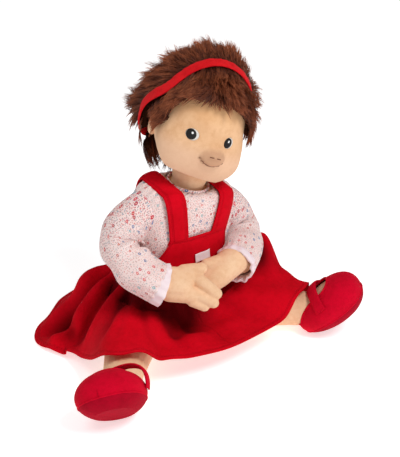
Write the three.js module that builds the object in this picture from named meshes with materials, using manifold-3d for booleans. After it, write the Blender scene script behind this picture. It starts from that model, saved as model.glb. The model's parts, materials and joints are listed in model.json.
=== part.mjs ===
// Soft stuffed doll that sits with its hands clasped, in a pinafore, blouse, shoes and headband.
// Millimetres, +Z up. The doll faces -Y, and its own right side is -X.

import * as THREE from 'three';
import { mergeVertices } from 'three/addons/utils/BufferGeometryUtils.js';
import Module from 'manifold-3d';

const wasm = await Module();
wasm.setup();

// Clearances and cloth
const GAP = 0.4;
const RUNNING_GAP = 1;
const CLOTH = 2.6;
const SHOE_CLOTH = 3.4;

// Posture, in degrees
const LEAN_FORWARD = 10;
const LEAN_LEFT = 9;
const TURN_RIGHT = 5;
const LEAN_PIVOT_HEIGHT = 30;

// Torso: height, half width and half depth at each girth
const SEAT_HEIGHT = 42;
const SEAT_HALF_WIDTH = 80;
const SEAT_HALF_DEPTH = 66;
const WAIST_HEIGHT = 128;
const WAIST_HALF_WIDTH = 72;
const WAIST_HALF_DEPTH = 56;
const CHEST_HEIGHT = 212;
const CHEST_HALF_WIDTH = 84;
const CHEST_HALF_DEPTH = 50;
const SHOULDER_RISE = 46;
const SHOULDER_HALF_WIDTH = 75;
const SHOULDER_HALF_DEPTH = 41;
const TORSO_HEIGHT = 265;
const NECK_SEAT_RADIUS = 33;
const GUSSET_THICKNESS = 5;
const PELLET_BAG_RADIUS = 22;
const PELLET_BAG_HEIGHT = 46;
const PELLET_BAG_BACK = 30;

// Neck and head
const NECK_RADIUS = 25;
const NECK_FOOT_FLARE = 3;
const NECK_BALL_RADIUS = 28;
const NECK_LENGTH = 19;
const HEAD_HALF_WIDTH = 66;
const HEAD_HALF_DEPTH = 72;
const HEAD_HALF_HEIGHT = 88;
const CHEEK_FULLNESS = 21;
const JAW_DROP = 24;
const HEAD_TURN_RIGHT = 24;
const HEAD_NOD = 0;
const HEAD_TILT_LEFT = 20;
const HEAD_SEAT_DEPTH = 3;
const HEAD_SEAT_BACK = -12;
const HEAD_SEAT_LEFT = 11;
const MUZZLE_HALF_WIDTH = 19;
const MUZZLE_HALF_HEIGHT = 15;
const MUZZLE_DEPTH = 9;
const MUZZLE_DROP = 41;
const NOSE_RADIUS = 7;
const EYE_SPACING = 58;
const EYE_RADIUS = 7.5;
const EYE_THICKNESS = 2;
const EYE_DROP = 10;
const EAR_HALF_HEIGHT = 15;
const EAR_HALF_DEPTH = 9;
const EAR_THICKNESS = 9;
const EAR_DROP = 8;
const EAR_BACK = 6;

// Hair and headband
const HAIR_THICKNESS = 16;
const HAIR_BACK_FULLNESS = 38;
const HAIR_TUFTS = 9;
const HAIR_TUFT_LENGTH = 7;
const FRINGE_HEIGHT = 46;
const FRINGE_HALF_WIDTH = 60;
const HAIRLINE_BACK = 2;
const SIDEBURN_DROP = 4;
const SIDEBURN_BACK = 14;
const NAPE_DROP = 52;
const BAND_WIDTH = 15;
const BAND_SINK = 5;
const BAND_NAPE_LIFT = 6;
const BAND_FORWARD = 0.3;

// Arms: the armhole plane, girths and the drum that parts the clasped hands
const ARMHOLE = 72;
const SHOULDER_HEIGHT = 224;
const SHOULDER_DRUM_RADIUS = 62;
const ARMPIT_DROP = 74;
const ARM_TOP_RADIUS = 34;
const ELBOW_RADIUS = 25;
const WRIST_RADIUS = 23;
const PALM_HALF_THICKNESS = 16;
const PALM_HALF_WIDTH = 32;
const FINGER_RADIUS = 9;
const FINGER_LENGTH = 38;
const FINGER_CURL = 0.28;
const ARM_ROOT_RISE = 12;
const ARMHOLE_RISE = 3;
const CLASP_RADIUS = 146;
const CLASP_EDGE = -6;
const CLASP_GAP = 8;
const SLEEVE_EASE = 3;
const CUFF_WIDTH = 10;

// Pinafore and blouse
const BODICE_FOOT = 118;
const BODICE_SIDE_TOP = 146;
const BIB_TOP = 198;
const BIB_HALF_WIDTH = 51;
const STRAP_WIDTH = 25;
const STRAP_SPREAD = 20;
const NECKBAND_HEIGHT = 7;

// Skirt: reach of the hem from the waist in plan, and its folds
const HEM_FRONT = 162;
const HEM_RIGHT = 168;
const HEM_LEFT = 205;
const HEM_BACK = 212;
const HEM_OVER_LEGS = 38;
const HEM_LEG_HEADING = 61;
const HEM_CORNER = 32;
const HEM_CORNER_HEADING = -120;
const HEM_BETWEEN_LEGS = 42;
const LEFT_PUFF = 82;
const PUFF_HEADING = 83;
const LAP_HOLLOW = 18;
const FOLD_WIDTH = 8;
// Each main fold of the skirt: heading round the waist in degrees, and height
const SKIRT_FOLDS = [
  [-66, 8], [-88, 13], [-110, 14], [-133, 12], [-158, 9], [-18, 4], [14, 4], [42, 5],
  [80, 16], [106, 9], [129, 10], [153, 9], [178, 9],
];

// Legs and shoes
const HIP_HALF_SPACING = 50;
const HIP_FORWARD = 18;
const LEG_SPREAD = 45;
const LEG_LENGTH = 205;
const THIGH_RADIUS = 41;
const KNEE_RADIUS = 33;
const ANKLE_RADIUS = 26;
const FOOT_LENGTH = 110;
const FOOT_WIDTH = 92;
const FOOT_HEIGHT = 60;
const FOOT_PITCH = 42;
const RIGHT_FOOT_ROLL = 22;
const LEFT_FOOT_ROLL = 2;
const SOLE_THICKNESS = 3;
const SHOE_OPENING_LENGTH = 98;
const SHOE_OPENING_WIDTH = 52;
const SHOE_OPENING_FRONT = 48;
const SHOE_STRAP_FRONT = 29;
const SHOE_STRAP_WIDTH = 19;
const SHOE_STRAP_EASE = 1.4;
const SHOE_STRAP_CLEARANCE = 0.8;
const LEG_SWING_OUT = 10;
const LEG_SWING_IN = 20;

// Materials
const cloth = (color, roughness) => new THREE.MeshStandardMaterial({ color, roughness, metalness: 0 });
const SKIN = cloth(0xe8bd98, 0.9);
const HAIR = cloth(0x4a2110, 0.8);
const RED_VELOUR = cloth(0xbd0716, 0.85);
const RED_BAND = cloth(0xd52728, 0.8);
const PRINT = cloth(0xf5dcd6, 0.85);
const HEM = cloth(0xf0e2e6, 0.85);
const SHOE = cloth(0xc2062b, 0.85);
const STITCH = cloth(0x1c1512, 0.6);
const LINING = cloth(0xe6dccb, 0.9);

const SIDES = [['right', -1], ['left', 1]];
const REACH = 600;
const vec = (x, y, z) => new THREE.Vector3(x, y, z);
const { degToRad, radToDeg, clamp, lerp, smoothstep } = THREE.MathUtils;

// Lofted skin of rings and sides, whose points are placed by ring and angle
function loft(rings, sides, at, closed = false) {
  const profile = [];
  for (let ring = 0; ring < rings; ring++) {
    const onAxis = !closed && (ring === 0 || ring === rings - 1);
    profile.push(new THREE.Vector2(onAxis ? 0 : 1, ring));
  }
  if (closed) profile.push(profile[0]);
  const geometry = new THREE.LatheGeometry(profile, sides);
  const position = geometry.attributes.position;
  for (let i = 0; i < position.count; i++) {
    const ring = (i % profile.length) % rings;
    const turn = (Math.floor(i / profile.length) % sides) / sides;
    position.setXYZ(i, ...at(ring, turn * Math.PI * 2).toArray());
  }
  return geometry;
}

// Closed solid of a geometry, with its faces turned outward
function solid(geometry, matrix = new THREE.Matrix4()) {
  let shape = geometry.clone();
  shape.deleteAttribute('normal');
  shape.deleteAttribute('uv');
  shape = mergeVertices(shape.applyMatrix4(matrix), 1e-3);
  const points = shape.attributes.position.array;
  const corners = [];
  let volume = 0;
  for (let i = 0; i < shape.index.count; i += 3) {
    const corner = [0, 1, 2].map((k) => shape.index.getX(i + k));
    if (new Set(corner).size < 3) continue;
    corners.push(corner);
    const [p, q, r] = corner.map((k) => vec(...points.slice(3 * k, 3 * k + 3)));
    volume += p.dot(q.cross(r));
  }
  if (volume < 0) corners.forEach((corner) => corner.reverse());
  const triVerts = new Uint32Array(corners.flat());
  const vertProperties = new Float32Array(points);
  return new wasm.Manifold(new wasm.Mesh({ numProp: 3, vertProperties, triVerts }));
}

function addMesh(group, name, body, material) {
  const { vertProperties, triVerts } = body.getMesh();
  const geometry = new THREE.BufferGeometry();
  geometry.setAttribute('position', new THREE.BufferAttribute(vertProperties, 3));
  geometry.setIndex(new THREE.BufferAttribute(triVerts, 1));
  geometry.computeVertexNormals();
  const mesh = new THREE.Mesh(geometry, material);
  mesh.name = name;
  group.add(mesh);
}

const ellipsoid = (centre, rx, ry, rz, sides = 16) => {
  const geometry = new THREE.SphereGeometry(1, sides, Math.round(sides * 0.6));
  return solid(geometry.rotateX(Math.PI / 2).scale(rx, ry, rz).translate(...centre));
};

const box = (x0, x1, y0, y1, z0, z1, matrix) => {
  const geometry = new THREE.BoxGeometry(x1 - x0, y1 - y0, z1 - z0);
  return solid(geometry.translate((x0 + x1) / 2, (y0 + y1) / 2, (z0 + z1) / 2), matrix);
};

// Drum about the shoulder axis, between two places along it
const drum = (x0, x1, radius) => {
  const geometry = new THREE.CylinderGeometry(radius, radius, x1 - x0, 64).rotateZ(Math.PI / 2);
  return solid(geometry.translate((x0 + x1) / 2, 0, SHOULDER_HEIGHT));
};

// Upright disc or column about the Z axis
const column = (radius, z0, z1) => {
  const geometry = new THREE.CylinderGeometry(radius, radius, z1 - z0, 28).rotateX(Math.PI / 2);
  return solid(geometry.translate(0, 0, (z0 + z1) / 2));
};

// Outline drawn in the XZ plane, carried through the depth from y0 to y1
const throughDepth = (shape, y0 = -REACH, y1 = REACH) => {
  const through = { depth: y1 - y0, bevelEnabled: false, curveSegments: 8 };
  const geometry = new THREE.ExtrudeGeometry(shape, through);
  return solid(geometry.rotateX(Math.PI / 2).translate(0, y1, 0));
};

// Skin of a limb round a curve: its half widths lie toward up and across
function limbPoint(curve, t, [toward, across], up, angle) {
  const along = curve.getTangentAt(t);
  const first = up.clone().addScaledVector(along, -up.dot(along)).normalize();
  const second = vec(0, 0, 0).crossVectors(along, first);
  const spot = curve.getPointAt(t).addScaledVector(first, toward * Math.cos(angle));
  return spot.addScaledVector(second, across * Math.sin(angle));
}

// Stuffed limb along a whole curve, closed at both ends
function limb(curve, girth, up, rings, sides) {
  return loft(rings, sides, (ring, angle) => {
    const t = clamp((ring - 1) / (rings - 3), 0, 1);
    const widths = ring === 0 || ring === rings - 1 ? [0, 0] : girth(t);
    return limbPoint(curve, t, widths, up, angle);
  });
}

// Cloth tube round part of a curve, outside a girth, open at both ends
function clothTube(curve, girth, thickness, up, rings, sides, from, to) {
  return loft(2 * rings, sides, (ring, angle) => {
    const outer = ring < rings;
    const t = lerp(from, to, (outer ? ring : 2 * rings - 1 - ring) / (rings - 1));
    const widths = girth(t).map((width) => width + (outer ? thickness : 0));
    return limbPoint(curve, t, widths, up, angle);
  }, true);
}

const doll = new THREE.Group();

// The upper body leans and turns about a pivot in the seat
const upperBody = new THREE.Group();
upperBody.name = 'upper_body';
upperBody.rotation.set(degToRad(LEAN_FORWARD), degToRad(LEAN_LEFT), degToRad(-TURN_RIGHT), 'ZXY');
upperBody.position.set(0, 0, -LEAN_PIVOT_HEIGHT).applyEuler(upperBody.rotation);
upperBody.position.z += LEAN_PIVOT_HEIGHT;
doll.add(upperBody);
doll.updateMatrixWorld(true);
const torsoToFloor = upperBody.matrixWorld.clone();
const floorToTorso = torsoToFloor.clone().invert();

// Torso girths as one curve of half width, half depth and height
const girths = new THREE.CatmullRomCurve3([
  vec(SEAT_HALF_WIDTH * 0.8, SEAT_HALF_DEPTH * 0.8, -SEAT_HEIGHT),
  vec(SEAT_HALF_WIDTH, SEAT_HALF_DEPTH, SEAT_HEIGHT),
  vec(WAIST_HALF_WIDTH, WAIST_HALF_DEPTH, WAIST_HEIGHT),
  vec(CHEST_HALF_WIDTH, CHEST_HALF_DEPTH, CHEST_HEIGHT),
  vec(SHOULDER_HALF_WIDTH, SHOULDER_HALF_DEPTH, CHEST_HEIGHT + SHOULDER_RISE),
  vec(NECK_SEAT_RADIUS, NECK_SEAT_RADIUS, TORSO_HEIGHT),
], false, 'centripetal');

// The torso's girths are squarer than ellipses
const squared = (ratio) => Math.sign(ratio) * Math.abs(ratio) ** 0.78;

// Point of the torso's skin, grown outward by a margin
function torsoPoint(t, angle, margin) {
  const girth = girths.getPoint(t);
  const slope = girths.getTangent(t);
  const outward = vec(slope.z, 0, -slope.x).normalize();
  const wide = girth.x + margin * outward.x;
  const deep = girth.y + margin * outward.x;
  const height = girth.z + margin * outward.z;
  return vec(wide * squared(Math.sin(angle)), -deep * squared(Math.cos(angle)), height);
}

// Place on the girth curve at a height
function girthAt(height) {
  let low = 0;
  let high = 1;
  while (high - low > 1e-5) {
    const middle = (low + high) / 2;
    if (girths.getPoint(middle).z < height) low = middle;
    else high = middle;
  }
  return low;
}

const TORSO_RINGS = 11;
const TORSO_SIDES = 20;

function torsoSkin(margin) {
  return loft(TORSO_RINGS + 2, TORSO_SIDES, (ring, angle) => {
    const t = clamp((ring - 1) / (TORSO_RINGS - 1), 0, 1);
    const skin = torsoPoint(t, angle, margin);
    const onAxis = ring === 0 || ring === TORSO_RINGS + 1;
    return onAxis ? vec(0, 0, skin.z) : skin;
  });
}

const armpit = SHOULDER_HEIGHT - ARMPIT_DROP;
const pastArmholes = box(-REACH, -ARMHOLE, -REACH, REACH, armpit, REACH)
  .add(box(ARMHOLE, REACH, -REACH, REACH, armpit, REACH));

// Legs lie on the floor, each turned out at its hip
function hipPlace(side, swing = 0) {
  const turn = degToRad(side * (LEG_SPREAD + swing));
  return new THREE.Matrix4().makeRotationZ(turn).setPosition(side * HIP_HALF_SPACING, -HIP_FORWARD, 0);
}

// Foot in its own frame: toe along -Y, instep along +Z, ankle at the origin
const footCentre = vec(0, -FOOT_LENGTH * 0.22, -FOOT_HEIGHT * 0.12);
const soleLevel = footCentre.z - FOOT_HEIGHT * 0.4;

function footForm(margin) {
  const rings = 10;
  return loft(rings, 14, (ring, angle) => {
    const polar = ring / (rings - 1) * Math.PI;
    const along = -Math.cos(polar);
    const girth = Math.pow(Math.sin(polar), 0.8);
    const taper = 1 - 0.12 * along;
    const x = (FOOT_WIDTH / 2 * taper + margin) * girth * Math.sin(angle);
    const y = (FOOT_LENGTH / 2 + margin) * along;
    const z = (FOOT_HEIGHT / 2 * taper + margin) * girth * Math.cos(angle);
    const spot = vec(x, y, z).add(footCentre);
    spot.z = Math.max(spot.z, soleLevel - margin);
    return spot;
  });
}

const footTurn = (side) => {
  const pitch = new THREE.Matrix4().makeRotationX(degToRad(-FOOT_PITCH));
  const roll = side < 0 ? -RIGHT_FOOT_ROLL : LEFT_FOOT_ROLL;
  return new THREE.Matrix4().makeRotationY(degToRad(roll)).multiply(pitch);
};
const shoeDepths = SIDES.map(([, side]) => {
  const shoe = footForm(GAP + SHOE_CLOTH).applyMatrix4(footTurn(side));
  shoe.computeBoundingBox();
  return -shoe.boundingBox.min.z;
});
const ANKLE_HEIGHT = Math.max(...shoeDepths);
const ankleAt = (side) => footTurn(side).setPosition(0, -LEG_LENGTH, ANKLE_HEIGHT);

// Leg along -Y from a round end at the hip to the ankle, resting on the floor
const legGirths = new THREE.CatmullRomCurve3([
  vec(THIGH_RADIUS, 0, 0),
  vec(THIGH_RADIUS, LEG_LENGTH * 0.25, 0),
  vec(KNEE_RADIUS, LEG_LENGTH * 0.6, 0),
  vec(ANKLE_RADIUS, LEG_LENGTH, 0),
]);

function legForm(margin) {
  const capRings = 3;
  const rings = capRings + 8;
  return loft(rings, 16, (ring, angle) => {
    const t = clamp((ring - capRings) / (rings - capRings - 2), 0, 1);
    const swell = legGirths.getPoint(t);
    const round = Math.min(ring / capRings, 1) * Math.PI / 2;
    const radius = (swell.x + margin) * (ring === rings - 1 ? 0 : Math.sin(round));
    const back = (swell.x + margin) * Math.cos(round);
    const axis = lerp(THIGH_RADIUS, ANKLE_HEIGHT, swell.y / LEG_LENGTH);
    const height = Math.max(axis + radius * Math.cos(angle), 0);
    return vec(radius * Math.sin(angle), back - swell.y, height);
  });
}

const wholeLeg = (side, margin) => solid(legForm(margin)).add(solid(footForm(margin), ankleAt(side)));

// Room that a leg sweeps as it swings at the hip, as a fan round the hip in plan
function legSweep(side, matrix) {
  const radius = THIGH_RADIUS + 2 * GAP;
  const outer = degToRad(LEG_SPREAD + LEG_SWING_OUT);
  const inner = degToRad(LEG_SPREAD - LEG_SWING_IN);
  const fan = new THREE.Shape();
  fan.absarc(0, 0, radius, outer, inner + Math.PI, false);
  for (const [heading, edge] of [[inner, -radius], [outer, radius]]) {
    const x = edge * Math.cos(heading) + LEG_LENGTH * Math.sin(heading);
    fan.lineTo(x, edge * Math.sin(heading) - LEG_LENGTH * Math.cos(heading));
  }
  const high = { depth: 2 * THIGH_RADIUS + 2 * GAP, bevelEnabled: false, curveSegments: 12 };
  const room = new THREE.ExtrudeGeometry(fan, high).scale(side, 1, 1);
  return solid(room.translate(side * HIP_HALF_SPACING, -HIP_FORWARD, -GAP), matrix);
}

for (const [name, side] of SIDES) {
  const hip = new THREE.Group();
  hip.name = `${name}_hip`;
  hip.applyMatrix4(hipPlace(side));
  doll.add(hip);
  addMesh(hip, `${name}_leg`, wholeLeg(side, 0), SKIN);

  // Shoe round the foot: an upper open over the instep, a strap across the opening and a sewn sole
  const atAnkle = ankleAt(side);
  const shell = solid(footForm(GAP + SHOE_CLOTH), atAnkle).subtract(wholeLeg(side, GAP));
  const opening = (ease) => {
    const half = SHOE_OPENING_WIDTH / 2 - ease;
    const back = SHOE_OPENING_LENGTH - SHOE_OPENING_FRONT;
    const outline = new THREE.Shape();
    outline.moveTo(half, back);
    const front = SHOE_OPENING_FRONT - SHOE_STRAP_FRONT;
    outline.absellipse(0, -SHOE_STRAP_FRONT, half, front, 0, -Math.PI, true);
    outline.lineTo(-half, back);
    const through = { depth: REACH, bevelEnabled: false, curveSegments: 7 };
    return solid(new THREE.ExtrudeGeometry(outline, through), atAnkle);
  };
  const soleSeam = soleLevel + SOLE_THICKNESS;
  const soleRoom = box(-REACH, REACH, -REACH, REACH, -REACH, soleSeam + GAP, atAnkle);
  addMesh(hip, `${name}_shoe_upper`, shell.subtract(opening(0)).subtract(soleRoom), SHOE);
  const belowSeam = box(-REACH, REACH, -REACH, REACH, -REACH, soleSeam, atAnkle);
  addMesh(hip, `${name}_shoe_sole`, shell.intersect(belowSeam), SHOE);
  const strapBack = SHOE_STRAP_WIDTH - SHOE_STRAP_FRONT;
  const strapSlab = box(-REACH, REACH, -SHOE_STRAP_FRONT, strapBack, 0, REACH, atAnkle);
  const strap = shell.intersect(opening(SHOE_STRAP_EASE)).intersect(strapSlab);
  addMesh(hip, `${name}_shoe_strap`, strap.subtract(wholeLeg(side, SHOE_STRAP_CLEARANCE)), SHOE);
}

// Torso, open below over a bag of pellets, and closed by a flat seat panel
const seatRoom = legSweep(-1, new THREE.Matrix4()).add(legSweep(1, new THREE.Matrix4()));
const seatRoomInTorso = legSweep(-1, floorToTorso).add(legSweep(1, floorToTorso));
const bagFloor = GUSSET_THICKNESS + GAP;

function pelletBag(margin, foot) {
  const rings = 9;
  const top = bagFloor + PELLET_BAG_HEIGHT;
  return loft(rings, 20, (ring, angle) => {
    const t = clamp((ring - 1) / (rings - 2), 0, 1);
    const round = Math.pow(1 - Math.pow(t, 3), 0.5);
    const radius = ring === 0 || ring === rings - 1 ? 0 : Math.max(PELLET_BAG_RADIUS * round, 2) + margin;
    const height = lerp(bagFloor, top, t) + (ring < 2 ? -foot : margin * t);
    return vec(radius * Math.sin(angle), PELLET_BAG_BACK - radius * Math.cos(angle), height);
  });
}

const underFloor = box(-REACH, REACH, -REACH, REACH, -REACH, bagFloor, floorToTorso);
const torso = solid(torsoSkin(0)).subtract(pastArmholes).subtract(underFloor).subtract(seatRoomInTorso);
const bagRoom = solid(pelletBag(GAP, GUSSET_THICKNESS), floorToTorso);
addMesh(upperBody, 'torso', torso.subtract(bagRoom), SKIN);
const seatSlab = box(-REACH, REACH, -REACH, REACH, 0, GUSSET_THICKNESS);
const seatPanel = solid(torsoSkin(0), torsoToFloor).intersect(seatSlab).subtract(seatRoom);
addMesh(doll, 'seat_gusset', seatPanel, SKIN);
addMesh(doll, 'pellet_bag', solid(pelletBag(0, 0)), LINING);

// Neck: a stump that ends in a ball for the head
const ballHeight = TORSO_HEIGHT + NECK_LENGTH;
const waistOfBall = Math.asin(NECK_RADIUS / NECK_BALL_RADIUS);
const neckProfile = [
  new THREE.Vector2(0, TORSO_HEIGHT + GAP),
  new THREE.Vector2(NECK_RADIUS + NECK_FOOT_FLARE, TORSO_HEIGHT + GAP),
  new THREE.Vector2(NECK_RADIUS, TORSO_HEIGHT + GAP + NECK_FOOT_FLARE),
];
for (let i = 0; i <= 8; i++) {
  const polar = lerp(Math.PI - waistOfBall, 0, i / 8);
  const radius = i === 8 ? 0 : NECK_BALL_RADIUS * Math.sin(polar);
  neckProfile.push(new THREE.Vector2(radius, ballHeight + NECK_BALL_RADIUS * Math.cos(polar)));
}
addMesh(upperBody, 'neck', solid(new THREE.LatheGeometry(neckProfile, 20).rotateX(Math.PI / 2)), SKIN);

// Head in its own frame, seated on the ball of the neck
const headSeat = vec(HEAD_SEAT_LEFT, HEAD_SEAT_BACK, HEAD_SEAT_DEPTH - HEAD_HALF_HEIGHT);
const head = new THREE.Group();
head.name = 'head_pose';
head.rotation.set(degToRad(HEAD_NOD), degToRad(HEAD_TILT_LEFT), degToRad(-HEAD_TURN_RIGHT), 'ZXY');
head.position.copy(headSeat).negate().applyEuler(head.rotation);
head.position.add(vec(0, 0, ballHeight).applyMatrix4(torsoToFloor));
doll.add(head);

// Point of the head in a direction, with full cheeks and jaw, grown outward by a margin
function headPoint(direction, margin) {
  const { x, y, z } = direction;
  const cheek = CHEEK_FULLNESS * Math.exp(-(((z + 0.45) / 0.32) ** 2)) * smoothstep(-y, -0.2, 0.7);
  const jaw = JAW_DROP * smoothstep(-y, 0.2, 0.65) * smoothstep(-z, 0.15, 0.75);
  const height = z * HEAD_HALF_HEIGHT - jaw;
  const spot = vec(x * (HEAD_HALF_WIDTH + cheek), y * HEAD_HALF_DEPTH - cheek * 0.3, height);
  const outward = vec(x / HEAD_HALF_WIDTH, y / HEAD_HALF_DEPTH, z / HEAD_HALF_HEIGHT).normalize();
  return spot.addScaledVector(outward, margin);
}

const HEAD_RINGS = 13;

function headForm(margin, sides = 20) {
  return loft(HEAD_RINGS, sides, (ring, angle) => {
    const polar = ring / (HEAD_RINGS - 1) * Math.PI;
    const wide = Math.sin(polar);
    const direction = vec(wide * Math.sin(angle), -wide * Math.cos(angle), -Math.cos(polar));
    return headPoint(direction, margin(direction));
  });
}

// Front of the face at a place in the XZ plane
function faceFront(x, z) {
  const dx = x / HEAD_HALF_WIDTH;
  const dz = z / HEAD_HALF_HEIGHT;
  return headPoint(vec(dx, -Math.sqrt(1 - dx * dx - dz * dz), dz), 0).y;
}

const muzzleFront = faceFront(0, -MUZZLE_DROP);
const muzzlePlace = [0, muzzleFront, -MUZZLE_DROP];
const muzzle = ellipsoid(muzzlePlace, MUZZLE_HALF_WIDTH, MUZZLE_DEPTH, MUZZLE_HALF_HEIGHT);
const nosePlace = [0, muzzleFront - MUZZLE_DEPTH, -MUZZLE_DROP + MUZZLE_HALF_HEIGHT / 2];
const nose = ellipsoid(nosePlace, NOSE_RADIUS, NOSE_RADIUS / 2, NOSE_RADIUS * 0.7, 12);
const neckSocket = ellipsoid(headSeat.toArray(), ...Array(3).fill(NECK_BALL_RADIUS + RUNNING_GAP), 20);
addMesh(head, 'head', solid(headForm(() => 0)).add(muzzle).add(nose).subtract(neckSocket), SKIN);

const headClear = solid(headForm(() => GAP));
const earPlaces = {};
for (const [name, side] of SIDES) {
  const eyeX = side * EYE_SPACING / 2;
  const eyePlace = [eyeX, faceFront(eyeX, -EYE_DROP), -EYE_DROP];
  const eye = ellipsoid(eyePlace, EYE_RADIUS, EYE_THICKNESS, EYE_RADIUS, 12);
  addMesh(head, `${name}_eye`, eye.subtract(headClear), STITCH);
  earPlaces[name] = [side * HEAD_HALF_WIDTH, EAR_BACK, -EAR_DROP];
  const ear = ellipsoid(earPlaces[name], EAR_THICKNESS, EAR_HALF_DEPTH, EAR_HALF_HEIGHT, 12);
  addMesh(head, `${name}_ear`, ear.subtract(headClear), SKIN);
}

// Hair stands off the skull, and most of all at the back
const hairDepth = (direction) => {
  const behind = smoothstep(direction.y, -0.3, 0.6);
  const crown = smoothstep(direction.z, -0.3, 0.5);
  return HAIR_THICKNESS + HAIR_BACK_FULLNESS * behind * lerp(1, 0.2, crown);
};

// Headband: a flat sewn loop over the crown and behind the ears, and under the hair at the nape
const bandWay = (turn) => {
  const down = (1 - Math.cos(turn)) / 2;
  return vec(Math.sin(turn), lerp(-BAND_FORWARD, 0.9, down ** 2.5), lerp(1, -0.55, down)).normalize();
};
const underHair = (turn) => smoothstep((1 - Math.cos(turn)) / 2, 0.62, 0.85);

function bandForm(ease, thickness) {
  const section = [[-1, 0], [1, 0], [1, 1], [-1, 1]];
  const spotAt = (turn, out) => {
    const direction = bandWay(turn);
    const lift = lerp(hairDepth(direction) - BAND_SINK, BAND_NAPE_LIFT, underHair(turn));
    return headPoint(direction, lift - ease + out);
  };
  return loft(section.length, 36, (ring, turn) => {
    const [across, out] = section[ring];
    const along = spotAt(turn + 0.01, 0).sub(spotAt(turn - 0.01, 0));
    const outward = spotAt(turn, 1).sub(spotAt(turn, 0));
    const side = vec(0, 0, 0).crossVectors(along, outward).normalize();
    return spotAt(turn, out * thickness(turn)).addScaledVector(side, across * (BAND_WIDTH / 2 + ease));
  }, true);
}

addMesh(head, 'headband', solid(bandForm(0, () => CLOTH)), RED_BAND);

// Hair: a tufted cap over the skull, open at the face and cut off at the nape
const hairForm = headForm((direction) => {
  const angle = Math.atan2(direction.x, -direction.y);
  const polar = Math.acos(-direction.z);
  const tuft = Math.sin(HAIR_TUFTS * angle + 5 * polar) * Math.sin(4 * polar);
  return hairDepth(direction) + HAIR_TUFT_LENGTH * tuft;
}, 24);
const hairline = new THREE.Shape();
hairline.moveTo(-FRINGE_HALF_WIDTH, -REACH);
hairline.lineTo(FRINGE_HALF_WIDTH, -REACH);
hairline.lineTo(FRINGE_HALF_WIDTH, 0);
const fringeRise = [FRINGE_HALF_WIDTH, FRINGE_HEIGHT, -FRINGE_HALF_WIDTH, FRINGE_HEIGHT * 1.6];
hairline.bezierCurveTo(...fringeRise, -FRINGE_HALF_WIDTH, 0);
const faceWindow = throughDepth(hairline, -REACH, -HAIRLINE_BACK);
const sideWindow = box(-REACH, REACH, -REACH, SIDEBURN_BACK, -REACH, -SIDEBURN_DROP);
const belowNape = box(-REACH, REACH, -REACH, REACH, -REACH, -NAPE_DROP);
const grooveDepth = (turn) => lerp(2 * HAIR_THICKNESS, CLOTH + 2 * GAP, underHair(turn));
const bandGroove = solid(bandForm(GAP, grooveDepth));
const earRoom = SIDES.map(([name]) => {
  return ellipsoid(earPlaces[name], EAR_THICKNESS + 2, EAR_HALF_DEPTH + 2, EAR_HALF_HEIGHT + 2);
});
let hair = solid(hairForm).subtract(headClear).subtract(faceWindow).subtract(sideWindow);
hair = hair.subtract(belowNape).subtract(bandGroove).subtract(earRoom[0]).subtract(earRoom[1]);
addMesh(head, 'hair_cap', hair, HAIR);

// Blouse over the torso, with a neckband round the neck
const blouseMargin = GAP + CLOTH;
const neckHole = NECK_RADIUS + NECK_FOOT_FLARE + GAP;
const blouseShell = solid(torsoSkin(blouseMargin)).subtract(solid(torsoSkin(GAP)));
const belowBlouse = box(-REACH, REACH, -REACH, REACH, -REACH, BODICE_FOOT + CLOTH);
let blouse = blouseShell.subtract(pastArmholes).subtract(belowBlouse);
blouse = blouse.subtract(column(neckHole, TORSO_HEIGHT - CLOTH, REACH));
addMesh(upperBody, 'blouse_body', blouse, PRINT);
const bandFoot = TORSO_HEIGHT + blouseMargin + GAP;
const neckband = column(neckHole + CLOTH, bandFoot, bandFoot + NECKBAND_HEIGHT);
addMesh(upperBody, 'neckband', neckband.subtract(column(neckHole, 0, REACH)), PRINT);

// Pinafore bodice with a bib front and back, and straps over the shoulders
const dressMargin = blouseMargin + GAP;
const dressShell = solid(torsoSkin(dressMargin + CLOTH)).subtract(solid(torsoSkin(dressMargin)));
const bodiceOutline = new THREE.Shape();
bodiceOutline.moveTo(-REACH, BODICE_FOOT);
bodiceOutline.lineTo(REACH, BODICE_FOOT);
bodiceOutline.lineTo(REACH, BODICE_SIDE_TOP);
bodiceOutline.lineTo(ARMHOLE, BODICE_SIDE_TOP);
bodiceOutline.quadraticCurveTo(BIB_HALF_WIDTH, BODICE_SIDE_TOP, BIB_HALF_WIDTH, BIB_TOP);
bodiceOutline.lineTo(-BIB_HALF_WIDTH, BIB_TOP);
bodiceOutline.quadraticCurveTo(-BIB_HALF_WIDTH, BODICE_SIDE_TOP, -ARMHOLE, BODICE_SIDE_TOP);
bodiceOutline.lineTo(-REACH, BODICE_SIDE_TOP);
addMesh(upperBody, 'dress_bodice', dressShell.intersect(throughDepth(bodiceOutline)), RED_VELOUR);
for (const [name, side] of SIDES) {
  const strapFoot = BIB_TOP + GAP;
  const strapTop = TORSO_HEIGHT + STRAP_WIDTH;
  const outline = new THREE.Shape();
  outline.moveTo(side * BIB_HALF_WIDTH, strapFoot);
  outline.lineTo(side * (BIB_HALF_WIDTH + STRAP_SPREAD), strapTop);
  outline.lineTo(side * (BIB_HALF_WIDTH + STRAP_SPREAD - STRAP_WIDTH), strapTop);
  outline.lineTo(side * (BIB_HALF_WIDTH - STRAP_WIDTH), strapFoot);
  addMesh(upperBody, `${name}_strap`, dressShell.intersect(throughDepth(outline)), RED_VELOUR);
}

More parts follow.
